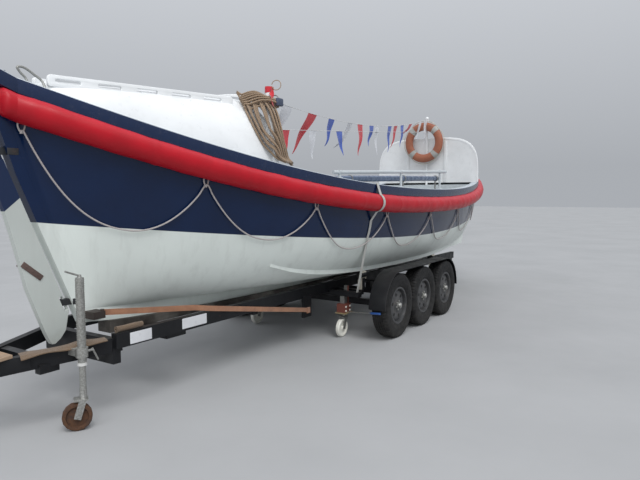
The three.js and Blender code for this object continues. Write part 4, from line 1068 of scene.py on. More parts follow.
def slotted_rail(start, stop):
    """A grab rail between two points: a long plate with five rounded slots."""
    start, stop = Vector(placed(start)), Vector(placed(stop))
    long = (stop - start).length
    way = (stop - start).normalized()
    side = Vector((0, 0, 1)).cross(way).normalized()
    up = way.cross(side)
    slots = [oblong((0.076 + 0.194 * i) * long, (0.19 + 0.194 * i) * long, -0.012, 0.016, 0.014, 6)
             for i in range(5)]
    rim = oblong(0, long, -0.045, 0.045, 0.03, 6)
    place = Matrix.Translation(start) @ Matrix((way, up, -side)).transposed().to_4x4()
    return plate([rim, *slots], 0.032, 0.005, place)


def box_rails(box, inward):
    """A slotted rail on each side of the roof."""
    start, stop = box.ends[1] + inward * 240, box.ends[0] - inward * 2
    return [slotted_rail([start, side * 465, along(box.tops, box, start) - box.drops[1]],
                         [stop, side * 90, along(box.tops, box, stop) - box.drops[0]])
            for _, side in SIDES]


def bulkhead_posts(box, inward):
    """Three upright battens on the bulkhead, each ending under the roof's arch."""
    face = box.ends[1] - inward * 3.5
    half = float(plan_half(face)) - box.insets[1]
    base = float(sheer(face)) + 8
    power = box.powers[0]
    posts = []
    for y in (-380, 0, 380):
        top = base + (box.tops[1] - base) * (1 - (abs(y) / half) ** power) ** (1 / power) - 30
        posts.append(block(*placed([[face - inward * 12, y - 30, base],
                                    [face + inward * 2, y + 30, top]]), 0.004))
    return posts


class LIFEBOAT_OT_end_boxes(bpy.types.Operator):
    """Arched end boxes with their rims and slotted rails"""
    bl_idname = "lifeboat.end_boxes"
    bl_label = "End boxes"

    def execute(self, context):
        white = paint("box_paint", tuple(context.scene.lifeboat_colours.boxes), (0.25, 0.42),
                      (0.6, 0.61, 0.6), 0.3, coat=0.15)
        for box in BOXES:
            inward = np.sign(box.ends[0])
            parts = [box_roof(box, inward), box_rim(box, inward), *box_rails(box, inward),
                     *bulkhead_posts(box, inward)]
            piece(f"{box.name}_shell", parts, [white], stands_for=[box.name])
        return {"FINISHED"}


# Keel and rudder
HINGE_HEIGHTS = (800.0, 1960.0)
BLADE_HALF = 29.5
HINGE_HALF = 45.5


def hinge_faces(at):
    """One for the sternpost's faces beside a hinge, and nought elsewhere."""
    near = np.min([np.abs(at[:, 2] - z * MM) for z in HINGE_HEIGHTS], 0) < 0.06
    aft = at[:, 0] / MM < post_face(-1.0, at[:, 2] / MM) + 1
    return np.where(near & aft, 1, 0)


def rudder_straps():
    """A flat strap on each face of the blade, with three bolt heads."""
    meshes = []
    for y in (-BLADE_HALF, BLADE_HALF):
        start, stop = np.array([-5076, y, 1139]), np.array([-4930, y, 1016])
        meshes.append(bar(placed(start), placed(stop), 0.007, 0.044, 0.002))
        for share in (0.2, 0.5, 0.8):
            c = start + (stop - start) * share
            head = placed([c, c + [0, np.sign(y) * 7, 0]])
            meshes.append(tube(head, [0.009, 0.006], 10, (1, 0, 0)))
    return meshes


def gudgeon_irons_and_shade():
    """A thin near-black cheek on each side of the sternpost at each hinge: iron that also stands as
    painted shade between the rudder and the post.
    """
    meshes = []
    for z in HINGE_HEIGHTS:
        face = float(post_face(-1.0, z))
        for y in (-HINGE_HALF, HINGE_HALF):
            meshes.append(block(*placed([[face + 2, y - 1.2, z - 24],
                                         [face + 85, y + 1.2, z + 24]]), 0.001))
    return meshes


class LIFEBOAT_OT_backbone(bpy.types.Operator):
    """Keel, posts, bilge keels and rudder"""
    bl_idname = "lifeboat.backbone"
    bl_label = "Keel and rudder"

    def execute(self, context):
        colours = context.scene.lifeboat_colours
        # Near-black iron at the hinges, darker than the iron alone: it is also painted shade between
        # the rudder and the post.
        dark = paint("hinge_iron_and_shade", (0.02, 0.022, 0.025), (0.4, 0.6), (0.1, 0.05, 0.03), 0.5)
        worn = paint("worn_iron", (0.11, 0.07, 0.06), (0.5, 0.7), (0.05, 0.035, 0.03), 0.6)
        pale = paint("bilge_paint", shade(colours.bottom, 1.02), share=0.35)
        eased("keel_and_posts", [bpy.data.materials["hull_paint"], dark], 0.006,
              choose=hinge_faces)
        for name, _ in SIDES:
            eased(f"bilge_keel_{name}", [pale], 0.006)
        eased("rudder", [rudder_paint(colours)], 0.012, "rudder_body", 3)
        eased("rudder_yoke", [rusted()], 0.004, "rudder_body")
        piece("rudder_straps", rudder_straps(), [worn], "rudder_body")
        piece("gudgeon_irons_and_shade", gudgeon_irons_and_shade(), [dark])
        return {"FINISHED"}


# Deck fittings
# Stern hoop: x, y and height over the planking's edge
STERN_HOOP = [[-4885, -105, 46.3], [-4899, -80, 118], [-4950, -66, 142], [-5018, -60, 156],
              [-5070, -60, 134], [-5052, -62, 106], [-5018, -68, 84], [-5008, -76, 49.6]]
# Aft post: foot, head, and the share of the height and the radius of each turned step
AFT_POST_FOOT, AFT_POST_HEAD = np.array([-2941.6, -670, 2270]), np.array([-2925.6, -670, 2700])
AFT_POST_STEPS = np.array([[0, 52], [0.02, 55], [0.05, 54.5], [0.5, 47], [0.86, 41], [0.88, 40],
                           [0.9, 40], [0.97, 38], [0.99, 32], [1.0, 12]])
# Fore post: its place, and x, height and radius along its knob
FORE_POST_X, FORE_POST_Y = 2764, -20
FORE_POST_KNOB = np.array([[2764, 3052, 22], [2763, 3060, 28], [2760, 3072, 27], [2756, 3088, 32],
                           [2754, 3102, 34], [2754, 3116, 30], [2754, 3130, 16], [2754, 3134, 3]])
# Even rises: where each starts, its run, its height at the start and its rise over the run. The
# side rail is as long as its run, and the stowed spar goes on to its own end.
RAIL_COURSE = (-2295, 2888, 1890, 105)
SPAR_COURSE = (-2146, 2592, 1827, 70)
SPAR_END = 500
OAR_Z = 1554.4


def climb(x, course):
    """Height on a straight line that rises evenly forward."""
    start, run, low, rise = course
    return low + rise * (x - start) / run


def stern_hoop():
    """The bent tube on the stern, and the round flange under its foot."""
    hoop = np.array(STERN_HOOP, float)
    hoop[:, 2] += sheer(hoop[:, 0]) - CAP_THICK
    flange = [[0.0, 0.0], [0.03, 0.0], [0.03, 0.005], [0.014, 0.008], [0, 0.008]]
    return [tube(through(placed(hoop), 60), 0.009, 14, (0, 1, 0.2)),
            lathe(flange, placed(hoop[0] - [0, 0, 6]), (0, 0, 1), 20, closed=False)]


def aft_post():
    """The turned post at the after end of the well."""
    line = AFT_POST_FOOT + (AFT_POST_HEAD - AFT_POST_FOOT) * AFT_POST_STEPS[:, :1]
    return [tube(placed(line), AFT_POST_STEPS[:, 1] * MM, 24, (1, 0, 0))]


def fore_post():
    """The thin post at the fore end of the well, with its turned knob."""
    foot = float(sheer(FORE_POST_X)) - 38
    mast = points(FORE_POST_X, FORE_POST_Y, [foot, 2500, 3052])
    x, z, radius = FORE_POST_KNOB.T
    knob = points(x, FORE_POST_Y, z)
    return [tube(placed(mast), 0.022, 20, (1, 0, 0)),
            tube(placed(knob), radius * MM, 20, (1, 0, 0))]


def side_rail(side):
    """A tube over the gunwale on three stanchions, each with a flange and a collar."""
    start, run = RAIL_COURSE[:2]
    x = np.linspace(start, start + run, 40)
    meshes = [tube(placed(points(x, side * (plan_half(x) - 5), climb(x, RAIL_COURSE))), 0.02, 14)]
    flange = [[0.0, 0.0], [0.038, 0.0], [0.038, 0.006], [0.02, 0.012], [0, 0.012]]
    for x in (-2190.0, -930.0, 350.0):
        y, z = side * (float(plan_half(x)) - 5), climb(x, RAIL_COURSE)
        foot = float(sheer(x)) + 1
        meshes.append(tube(placed([[x, y, foot], [x, y, z]]), 0.016, 14, (1, 0, 0)))
        meshes.append(lathe(flange, placed([x, y, foot]), (0, 0, 1), 24, closed=False))
        meshes.append(tube(placed([[x - 28, y, z], [x + 28, y, z]]), 0.0235, 16))
    return meshes


def oar_bundle(side):
    """Three stowed oars with round looms and flat blades, and two lashings of three turns."""
    loom, leaf = np.linspace(-2400, 2250, 60), np.linspace(1450, 2250, 18)
    loom_radius = np.interp(loom, [-2400, -2250, -2240, 1300, 2250],
                            [0.017, 0.018, 0.024, 0.022, 0.019])
    leaf_radius = np.interp(leaf, [1450, 1750, 2200, 2250], [0.022, 0.03, 0.03, 0.022])
    meshes = []
    for k in range(3):
        y = side * (690 + 62 * k)
        meshes.append(tube(placed(points(loom, y, OAR_Z)), loom_radius, 16))
        meshes.append(tube(placed(points(leaf, y, OAR_Z)), leaf_radius, 16, (0, 1, 0), flat=0.45))
    for x in (-1500, 1300):
        for turn in (-14, 0, 14):
            meshes.append(wire_ring([x + turn, side * 752, OAR_Z], [0, 92, 0], [0, 0, 29], 0.006,
                                    40))
    return meshes


def stowed_spar(side):
    """A long tapered spar inside the rail, held by three bent arms with a ring on each."""
    x = np.linspace(SPAR_COURSE[0], SPAR_END, 30)
    radius = np.interp(x, [x[0], -2120, -1500, 420, x[-1]], [0.03, 0.034, 0.035, 0.033, 0.03])
    line = points(x, side * (plan_half(x) - 92), climb(x, SPAR_COURSE))
    meshes = [tube(placed(line), radius, 20)]
    for x in (-1900.0, -700.0, 400.0):
        edge = float(plan_half(x))
        y, z = side * (edge - 92), climb(x, SPAR_COURSE)
        low = float(sheer(x)) - CAP_THICK - 10
        arm = [[x, side * (edge - 56), low], [x, y, low], [x, y, z - 30]]
        meshes.append(tube(placed(arm), 0.011, 12, (1, 0, 0), finish=1))
        meshes.append(wire_ring([x, y, z], [0, 39, 0], [0, 0, 39], 0.006))
    return meshes


class LIFEBOAT_OT_fittings(bpy.types.Operator):
    """Hoop, posts, side rails, thwarts and oars"""
    bl_idname = "lifeboat.fittings"
    bl_label = "Deck fittings"

    def execute(self, context):
        zinc = galvanised("deck_zinc")
        white = bpy.data.materials["box_paint"]
        grey = paint("rail_paint", (0.52, 0.56, 0.58), (0.3, 0.5))
        blue = paint("oar_paint", (0.14, 0.19, 0.29), (0.2, 0.35), share=0.15)
        lashing = rope("oar_lashing", (0.5, 0.45, 0.33), (0.3, 0.26, 0.18))
        boards = timber("thwart_wood", (0.42, 0.25, 0.12), (0.24, 0.13, 0.06), (14, 0.5, 14), 0.2)
        piece("stern_hoop_bent", stern_hoop(), [zinc], stands_for=["stern_hoop"])
        piece("aft_post_turned", aft_post(), [white], stands_for=["aft_post"])
        piece("fore_post_turned", fore_post(), [white],
              stands_for=["fore_post"])
        for name, side in SIDES:
            piece(f"side_rail_{name}_tube", side_rail(side), [grey],
                  stands_for=[f"side_rail_{name}"])
            piece(f"oars_{name}_looms", oar_bundle(side), [blue, lashing],
                  stands_for=[f"oars_{name}"])
            piece(f"stowed_spar_{name}", stowed_spar(side), [blue, zinc])
        eased("thwarts", [boards], 0.004)
        return {"FINISHED"}


# Hank and life ring
HANK_ROWS = np.array([
    # share of the way down, then degrees up the arch and x, of the left and right edge
    [0.0, 64, -3100, 60, -2935], [0.10, 56, -3147, 49, -2912], [0.27, 38, -3220, 32, -2925],
    [0.47, 23, -3214, 18, -2955], [0.66, 13, -3160, 9, -2950], [0.80, 6, -3110, 4, -2920],
    [0.90, 1.5, -3062, 1.2, -2893]])
HANK_STRANDS = 19
HANK_WRAPS = 6
RING_PLACE = (2690.0, 12.0, 2650.0)
RING_RADIUS = 298


def shoulder(deg, x, lift):
    """A point over the aft box's starboard shoulder: the roof's arch abaft the rim, the rim's own
    arch over it and past it, and the aft post's outside beside that."""
    w = np.clip((x + 3160) / 110, 0, 1)
    w = (w * w * (3 - 2 * w))[..., None]
    a = np.radians(deg)
    box, rim = BOXES[0], -3000.0
    arches = []
    for base, half, top, power in (
            (sheer(x) - 39, plan_half(x) - box.insets[0], along(box.tops, box, x), box.powers[0]),
            (sheer(rim) + 6, plan_half(rim) - 33, 2665.0, box.powers[1])):
        arches.append(points(x, -(half + lift) * np.cos(a) ** (2 / power),
                             base + (top + lift - base) * np.sin(a) ** (2 / power)))
    spot = arches[0] * (1 - w) + arches[1] * w
    past = np.clip((x + 3040) / 60, 0, 1) * np.clip((52 - deg) / 8, 0, 1)
    out = np.minimum(spot[..., 1], -(729 + lift))
    spot[..., 1] += (out - spot[..., 1]) * past
    return spot


def hank_strand(k):
    """One strand of the hank, down its rows to a bend under them. Each third strand lies at the
    same level, and the strands swell under the wraps. Odd strands run back up."""
    share = (k + 0.5) / HANK_STRANDS
    level = (k * 2) % 3
    down = HANK_ROWS[:, 0]
    deg = HANK_ROWS[:, 1] + (HANK_ROWS[:, 3] - HANK_ROWS[:, 1]) * share
    x = HANK_ROWS[:, 2] + (HANK_ROWS[:, 4] - HANK_ROWS[:, 2]) * share
    x = x + 7 * np.sin(5.2 * down + k * 1.7) * down
    lift = 13 + 14 * np.exp(-((down - 0.14) / 0.09) ** 2)
    lift = lift + 17 * level * np.clip(down * 3, 0, 1)
    low = [-3000 + 118 * share, -888 - 19 * level, 1972 - 5 * level]
    run = np.vstack([shoulder(deg, x, lift), low])
    return run if k % 2 == 0 else run[::-1]


def hank_wraps():
    """Turns across the upper part of the hank, over all of its strands and back under them."""
    a = np.linspace(0, 2 * np.pi * HANK_WRAPS, HANK_WRAPS * 14)
    down = 0.03 + 0.17 * a / a[-1]
    left_deg, left_x, right_deg, right_x = (
        np.interp(down, HANK_ROWS[:, 0], HANK_ROWS[:, i]) for i in (1, 2, 3, 4))
    across = 0.5 - 0.56 * np.cos(a)
    return shoulder(left_deg + (right_deg - left_deg) * across,
                    left_x + (right_x - left_x) * across, 36 + 26 * np.sin(a))


def on_ring(angle, radius):
    """Places on an upright circle about the life ring's middle, in metres."""
    x, y, z = RING_PLACE
    return placed(points(x, y + radius * np.cos(angle), z + radius * np.sin(angle)))


def ring_band(middle):
    """A band of cloth round the life ring's body: part of a slightly thicker ring."""
    sweep = np.linspace(middle - 0.14, middle + 0.14, 12)
    band = tube(on_ring(sweep, RING_RADIUS), 0.0775, 24, (1, 0, 0), finish=1)
    centre = Vector((placed(RING_PLACE)[0], 0, 0))
    band.transform(Matrix.Translation(centre) @ Matrix.Scale(0.645, 4, (1, 0, 0))
                   @ Matrix.Translation(-centre))
    return band


def life_ring():
    """The oval body, turned round a fore and aft axis, four bands, and a grab line that stands
    off between them."""
    a = around(24)
    section = np.stack([RING_RADIUS + 76 * np.cos(a), 48 * np.sin(a)], 1) * MM
    quarters = np.pi / 4 + np.arange(4) * np.pi / 2
    step = np.linspace(0, np.pi / 2, 15)[:-1]
    grab = on_ring((quarters[:, None] + step).ravel(), np.tile(376 + 26 * np.sin(2 * step), 4))
    return [lathe(section, placed(RING_PLACE), (1, 0, 0), 96),
            *[ring_band(middle) for middle in quarters],
            tube(grab, 0.006, 8, (1, 0, 0), wrap=True, finish=2)]


class LIFEBOAT_OT_hank(bpy.types.Operator):
    """Manila hank on the aft post and the ring at the fore end of the well"""
    bl_idname = "lifeboat.hank"
    bl_label = "Hank and life ring"

    def execute(self, context):
        colours = context.scene.lifeboat_colours
        radius = context.scene.lifeboat_sizes.hank_radius
        manila = rope("manila_fibre", tuple(colours.manila), shade(colours.manila, 0.5), 0.5)
        line = [hank_strand(k) for k in range(HANK_STRANDS)]
        path = even(through(placed(np.vstack([*line, hank_wraps()])), 1200), 1300)
        body = tube(path, radius, 9, (1, 0.2, 0.1), strands=3, pitch=0.06)
        coil = piece("rope_hank_laid", [body], [manila],
                     stands_for=["rope_hank"], angle=180)
        orange = woven("ring_canvas", (0.40, 0.135, 0.07), (0.3, 0.1, 0.055), 420, 0.1, 0.6)
        grey = woven("ring_bands", (0.45, 0.45, 0.42), (0.35, 0.35, 0.33), 420, 0.1, 0.6)
        cotton = rope("ring_rope", (0.6, 0.57, 0.48), (0.4, 0.37, 0.3))
        piece("life_ring_canvas", life_ring(), [orange, grey, cotton],
              stands_for=["life_ring"])
        return {"FINISHED"}


# Bunting
STRING_POINTS = 160
STRINGS = {
    # start, stop and sag
    "upper": ((-2930, -716, 2570), (2764, -48, 3100), 190),
    "lower": ((-2934, -718, 2290), (2764, -50, 2850), 10),
}
WIND = np.array([-0.86, 0.5, 0.0])
DOWN = np.array([0, 0, -1.0])
PENNANTS = (
    # string, share of the way along it, cloth, length, lean downwind in radians, and width. The
    # sizes are for a user's length of 0.34 m and width of 0.12 m.
    ("upper", 0.050, "white", 0.40, 0.45, 0.15),
    ("upper", 0.153, "red", 0.52, 0.62, 0.14),
    ("upper", 0.238, "blue", 0.34, 0.35, 0.11),
    ("upper", 0.340, "white", 0.42, 0.72, 0.11),
    ("upper", 0.395, "red", 0.42, 0.05, 0.12),
    ("upper", 0.470, "blue", 0.3, 0.2, 0.11),
    ("upper", 0.510, "white", 0.42, 0.0, 0.11),
    ("upper", 0.610, "blue", 0.4, 0.1, 0.11),
    ("upper", 0.660, "red", 0.36, 0.3, 0.11),
    ("upper", 0.720, "blue", 0.36, 0.15, 0.11),
    ("upper", 0.800, "red", 0.34, 0.9, 0.11),
    ("upper", 0.900, "white", 0.38, 0.3, 0.11),
    ("upper", 0.970, "white", 0.44, 0.1, 0.2),
    ("lower", 0.045, "red", 0.30, 0.0, 0.11),
    ("lower", 0.150, "white", 0.32, 0.04, 0.12),
    ("lower", 0.275, "blue", 0.3, -0.15, 0.12),
)
PENNANT_LONG, PENNANT_WIDE = 0.34, 0.12
RIBBON_HALF = 0.026
RIBBON_PLACE = (-2926, -670, 2672)
GROMMET_PLACE = (-2926, -756, 2712)
SIGNAL_BLOCK_X = -2926


def string_line(start, stop, sag):
    """A straight line with a parabola's sag."""
    s = np.linspace(0, 1, STRING_POINTS)[:, None]
    way = np.array(start, float) + (np.array(stop, float) - start) * s
    way[:, 2:] -= 4 * sag * s * (1 - s)
    return placed(way)


def pennant(run, at, long, wide, lean, k):
    """A tapered cloth from a place on the string. Its course turns from nearly plumb to its lean
    and waves a little, and its width turns from along the string to square to its course."""
    start = run[int(round(at * (len(run) - 1)))]
    e = unit(np.diff(run, axis=0)[int(round(at * (len(run) - 2)))])
    t = np.linspace(0, 1, 28)[:, None]
    beta = lean * (1 - 0.5 * np.exp(-t * 4)) + 0.1 * np.sin(5 * t + k)
    step = np.sin(beta) * WIND + np.cos(beta) * DOWN
    centre = start + np.vstack([np.zeros((1, 3)), np.cumsum(step[1:] * long / (len(t) - 1), 0)])
    w = unit(e - np.clip(t * 1.5, 0, 1) * (step @ e)[:, None] * step)
    n = unit(np.cross(step, w))
    centre = centre + n * 0.014 * np.sin(7 * t + k * 1.3) * t
    half = wide / 2 * (1 - t ** 1.2) + 0.004
    return cloth(centre, w, n, half, 0.016 * np.minimum(t, 1 - t), 5)


def ribbon():
    """Middle line and surface of a ribbon: 1.6 turns round the aft post's head, then a fall away
    from it in which the ribbon's width turns level."""
    a = np.linspace(0, 1, 70)
    turn = 2 * np.pi * (1.6 * np.clip(a / 0.72, 0, 1)) + 0.3
    fall = np.clip((a - 0.72) / 0.28, 0, 1)
    radius = 42 + 3 * a + 85 * fall
    x, y, z = RIBBON_PLACE
    line = placed(points(x + radius * np.cos(turn), y + radius * np.sin(turn),
                         z + 6 * np.sin(9 * a) - 170 * fall ** 1.2))
    t = unit(np.gradient(line, axis=0))
    up = -DOWN * (1 - fall[:, None]) + np.array([0.9, 0.4, 0]) * fall[:, None]
    up = unit(up - (up * t).sum(1, keepdims=True) * t)
    flat = np.zeros((len(a), 1))
    return line, cloth(line, up, np.cross(t, up), flat + RIBBON_HALF, flat, 3)


def grommet_line():
    """A rope ring that leans on the aft post, open by a small gap beside the post."""
    x, y, z = GROMMET_PLACE
    a = np.linspace(0.15, 2 * np.pi - 0.15, 60) - np.pi / 2
    return placed(points(x + 12 * np.sin(a), y - 46 * np.sin(a), z + 46 * np.cos(a)))


def signal_block():
    """A rounded block that hangs outside the aft post by a bent strop."""
    x = SIGNAL_BLOCK_X
    strop = placed([[x, -792, 2580], [x, -760, 2612], [x, -706, 2620]])
    return [block(*placed([[x - 45, -812, 2508], [x + 45, -772, 2584]]), 0.012),
            tube(strop, 0.006, 10, (1, 0, 0), finish=1)]


class LIFEBOAT_OT_bunting(bpy.types.Operator):
    """Two strings of pennants over the well, a ribbon, a grommet and a block on the aft post"""
    bl_idname = "lifeboat.bunting"
    bl_label = "Bunting"

    def execute(self, context):
        sizes = context.scene.lifeboat_sizes
        fibre = rope("string_fibre", (0.66, 0.66, 0.66), (0.5, 0.5, 0.5), 0.2)
        cloths = {"white": woven("pennant_white", (0.72, 0.73, 0.76), (0.6, 0.61, 0.64), 900),
                  "red": woven("pennant_red", (0.66, 0.02, 0.035), (0.5, 0.015, 0.03), 900),
                  "blue": woven("pennant_blue", (0.03, 0.1, 0.5), (0.02, 0.07, 0.38), 900)}
        strings = {name: string_line(*course) for name, course in STRINGS.items()}
        lines = {name: piece(f"bunting_{name}", [tube(run, 0.003, 8, (0, 1, 0))], [fibre]) for name, run in strings.items()}
        for k, (string, at, colour_name, long, lean, wide) in enumerate(PENNANTS):
            long = long * sizes.pennant_length / PENNANT_LONG
            wide = wide * sizes.pennant_width / PENNANT_WIDE
            ring = pennant(strings[string], at, long, wide, lean, k)
            flag = piece(f"pennant_{string}_{k + 1}", [surface(ring, wrap_v=True, caps=True)],
                         [cloths[colour_name]], angle=50)
        line, ring = ribbon()
        tie = piece("aft_post_ribbon", [surface(ring, wrap_v=True, caps=True)], [cloths["red"]],
                    angle=50)
        loop = grommet_line()
        manila = rope("grommet_manila", (0.4, 0.27, 0.16), (0.24, 0.15, 0.08))
        grommet = piece("aft_post_grommet", [tube(loop, 0.004, 8, (1, 0, 0))], [manila])
        grey = paint("block_grey", (0.06, 0.08, 0.13), (0.3, 0.5))
        piece("signal_block", signal_block(), [grey, galvanised("block_zinc")])
        return {"FINISHED"}


# Trailer. The pads are in metres, and a plate is its x, height and width in millimetres.
PAD_PLACES = (-1.215, 1.13)
PAD_Y = 0.765
PLATES = ((-4384, 517, 216), (-3790, 525, 300))
RAIL_FACE = 480.3


def pad_faces(at):
    """One for the faces of the bilge supports' pads, and nought elsewhere."""
    high = at[:, 2] > 0.56
    near = np.min([np.abs(at[:, 0] - x) for x in PAD_PLACES], 0) < 0.056
    return np.where(high & near & (np.abs(np.abs(at[:, 1]) - PAD_Y) < 0.06), 1, 0)


def blank_plates():
    """Bare rounded plates on the outer faces of both rails."""
    meshes = []
    for side in (-1, 1):
        for x, z, wide in PLATES:
            at = placed([x, side * RAIL_FACE, z])
            spin = Matrix(((1, 0, 0, at[0]), (0, 0, -side, at[1]), (0, side, 0, at[2]),
                           (0, 0, 0, 1)))
            corners = oblong(-wide / 2, wide / 2, -46, 46, 8)
            meshes.append(plate([corners * MM], 0.0015, 0.0003, spin))
    return meshes


class LIFEBOAT_OT_trailer(bpy.types.Operator):
    """Trailer frame, axles, keel bearer and coupling"""
    bl_idname = "lifeboat.trailer"
    bl_label = "Trailer"

    def execute(self, context):
        black = chassis_paint()
        baulk = timber("bearer_wood", (0.035, 0.028, 0.022), (0.018, 0.015, 0.013),
                       (0.5, 14, 14), 0.5)
        pad = paint("roller_pad", (0.5, 0.47, 0.4), (0.5, 0.7), (0.2, 0.15, 0.1), 0.6)
        blank = paint("plate_white", (0.66, 0.67, 0.69), (0.25, 0.4), (0.3, 0.3, 0.3), 0.15)
        eased("trailer_frame", [black, pad], 0.003, choose=pad_faces)
        eased("tow_coupling", [black], 0.003)
        eased("keel_bearer", [baulk], 0.004)
        for i in (1, 2, 3):
            eased(f"axle_{i}", [black], 0.003)
        piece("blank_plates", blank_plates(), [blank])
        return {"FINISHED"}


# Wheels and mudguards. A profile is a row of radius and distance outboard.
AXLES = (-1155.0, -355.0, 445.0)
AXLE_Z = 314.0
WHEEL_Y = 1184.0
TYRE_HALF = np.array([
    [226, -72], [232, -86], [256, -97], [300, -102.5], [343, -101], [366, -97], [380, -92],
    [387, -84], [391, -74], [393, -60], [394, -48], [394, -46.5], [386, -45], [386, -41],
    [394, -39.5], [394, -19], [386, -17.5], [386, -13], [394, -11.5], [394, 0]])
TYRE = np.vstack([TYRE_HALF, TYRE_HALF[-2::-1] * [1, -1], [[222, 60], [222, -60]]])
DISH = [[0.2, 74], [30, 74], [52, 72], [72, 66], [84, 60], [100, 57], [122, 60], [150, 61],
        [166, 58], [184, 48], [196, 44], [200, 70], [204, 82], [214, 86], [226, 84], [226, -84],
        [214, -86], [206, -82], [200, -30], [196, 24], [184, 28], [162, 40], [100, 40], [30, 42],
        [0.2, 42]]
WHEEL_FITTINGS = (
    # nuts and holes: first angle, distance from the axle, place outboard, thickness, radius,
    # sides and finish, in metres
    (0.3, 0.051, 0.070, 0.014, 0.0125, 6, 1),
    (0.3 + np.pi / 6, 0.136, 0.0592, 0.0032, 0.02, 20, 2),
)
HUB_CAP = [[0.2, 118], [14, 117.5], [24, 114], [30, 106], [33, 92], [34, 74], [40, 73]]
GUARD_RADIUS = 430.5
GUARD_STAYS = (-755, 45)
GUARD_SECTION = np.array([
    # across the guard and outwards from the wheels
    [-108, -9], [-108, 0], [-100, 2.2], [0, 3.4], [100, 2.2], [108, 0], [108, -9], [106, -9],
    [105, -2], [98, 0], [0, 1], [-98, 0], [-105, -2], [-106, -9]])


def lugs(angle, column):
    """Cuts of 7 mm across the tyre's shoulders, sixty to a turn."""
    out = np.abs(TYRE[:, 1])
    shoulders = (out > 44) & (out < 96) & (TYRE[:, 0] > 370)
    return np.where((np.sin(angle * 60) > 0.72) & shoulders[column], -0.007, 0.0)


def wheel_disc(centre, side):
    """A pressed disc with six nuts and six round holes, and a hub cap."""
    outwards = np.array([MM, MM * side])
    meshes = [lathe(DISH * outwards, centre, (0, 1, 0), 72, closed=False)]
    for k in range(6):
        for first, reach, out, deep, radius, sides, finish in WHEEL_FITTINGS:
            a = first + k * np.pi / 3
            at = centre + np.array([reach * np.cos(a), side * out, reach * np.sin(a)])
            meshes.append(tube([at, at + [0, side * deep, 0]], radius, sides, (1, 0, 0),
                               finish=finish))
    meshes.append(lathe(HUB_CAP * outwards, centre, (0, 1, 0), 32, finish=1, closed=False))
    return meshes


def guard_sheet(side):
    """The mudguard: its section carried up a quarter circle, level over the wheels and down."""
    up = np.linspace(np.pi, np.pi / 2, 24)
    over = [AXLES[0] + np.cos(up) * GUARD_RADIUS, AXLES[2] - np.cos(up[::-1]) * GUARD_RADIUS]
    high = [AXLE_Z + np.sin(up) * GUARD_RADIUS, AXLE_Z + np.sin(up[::-1]) * GUARD_RADIUS]
    line = even(np.stack([np.concatenate(over), np.concatenate(high)], 1), 110)
    d = np.gradient(line, axis=0)
    out = unit(np.stack([-d[:, 1], d[:, 0]], 1))
    across, lift = GUARD_SECTION.T
    ring = points(line[:, :1] + out[:, :1] * lift, side * WHEEL_Y + across,
                  line[:, 1:] + out[:, 1:] * lift)
    return surface(placed(ring), wrap_v=True, caps=True)


def guard_stay(x, side):
    """A bent rod from a foot plate on the rail, out and up to the mudguard's inner edge."""
    y = side * (WHEEL_Y - 108 - 9)
    bend = [[x, side * 481, 520], [x, y - side * 30, 520], [x, y - side * 6, 526], [x, y, 548],
            [x, y, AXLE_Z + 428]]
    foot = placed([[x - 30, side * 480.2, 490], [x + 30, side * 486, 550]])
    return [tube(through(placed(bend), 40), 0.01, 12, (1, 0, 0)), block(*foot, 0.002)]


class LIFEBOAT_OT_wheels(bpy.types.Operator):
    """Tyres, rims and mudguards"""
    bl_idname = "lifeboat.wheels"
    bl_label = "Wheels"

    def execute(self, context):
        tyre = rubber()
        steel = paint("rim_paint", (0.045, 0.046, 0.048), (0.35, 0.55), (0.16, 0.14, 0.12), 0.5)
        bright = galvanised("hub_zinc")
        black = bpy.data.materials["chassis_paint"]
        for name, side in SIDES:
            for i, x in enumerate(AXLES, 1):
                centre = placed([x, side * WHEEL_Y, AXLE_Z])
                body = f"wheel_{name}_{i}"
                tread = lathe(TYRE * MM, centre, (0, 1, 0), 240, ripple=lugs)
                piece(f"tyre_{name}_{i}_tread", [tread], [tyre], body,
                      [f"tyre_{name}_{i}"], angle=30)
                piece(f"rim_{name}_{i}_pressed", wheel_disc(centre, side), [steel, bright, tyre],
                      body, [f"rim_{name}_{i}"])
            stays = [mesh for x in GUARD_STAYS for mesh in guard_stay(x, side)]
            piece(f"mudguard_{name}_sheet", [guard_sheet(side), *stays], [black],
                  stands_for=[f"mudguard_{name}"])
        return {"FINISHED"}


# Jockey wheel and castors
JOCKEY_X, JOCKEY_Y = -4897, -450
THREAD_RADIUS = 30.5
THREAD_HEIGHTS = np.arange(560, 1040, 13.5)
CASTOR_X, CASTOR_Y = -1455, 665
CLAMP_HALF = 66.2


class LIFEBOAT_OT_jockey(bpy.types.Operator):
    """Jockey wheel on the starboard arm, wound down"""
    bl_idname = "lifeboat.jockey"
    bl_label = "Jockey wheel"

    def execute(self, context):
        zinc = galvanised()
        iron = rusted("jockey_rust", 0.6)
        enamel = paint("collar_white", (0.62, 0.62, 0.6), (0.3, 0.5), share=0.2)
        for node, body in (("jockey_tube", ROOT), ("jockey_clamp", ROOT),
                           ("jockey_fork", "jockey_swivel")):
            eased(node, [zinc], 0.0015, body)
        eased("jockey_wheel", [iron], 0.002, "jockey_roller")
        thread = THREAD_RADIUS
        ribs = [wire_ring([JOCKEY_X, JOCKEY_Y, z], [thread, 0, 0], [0, thread, 0], 0.0026,
                          sides=6, finish=0) for z in THREAD_HEIGHTS]
        collar = tube(placed([[JOCKEY_X, JOCKEY_Y, 402], [JOCKEY_X, JOCKEY_Y, 424]]), 0.0335, 28,
                      (1, 0, 0), finish=1)
        piece("jockey_thread", [*ribs, collar], [zinc, enamel])
        return {"FINISHED"}


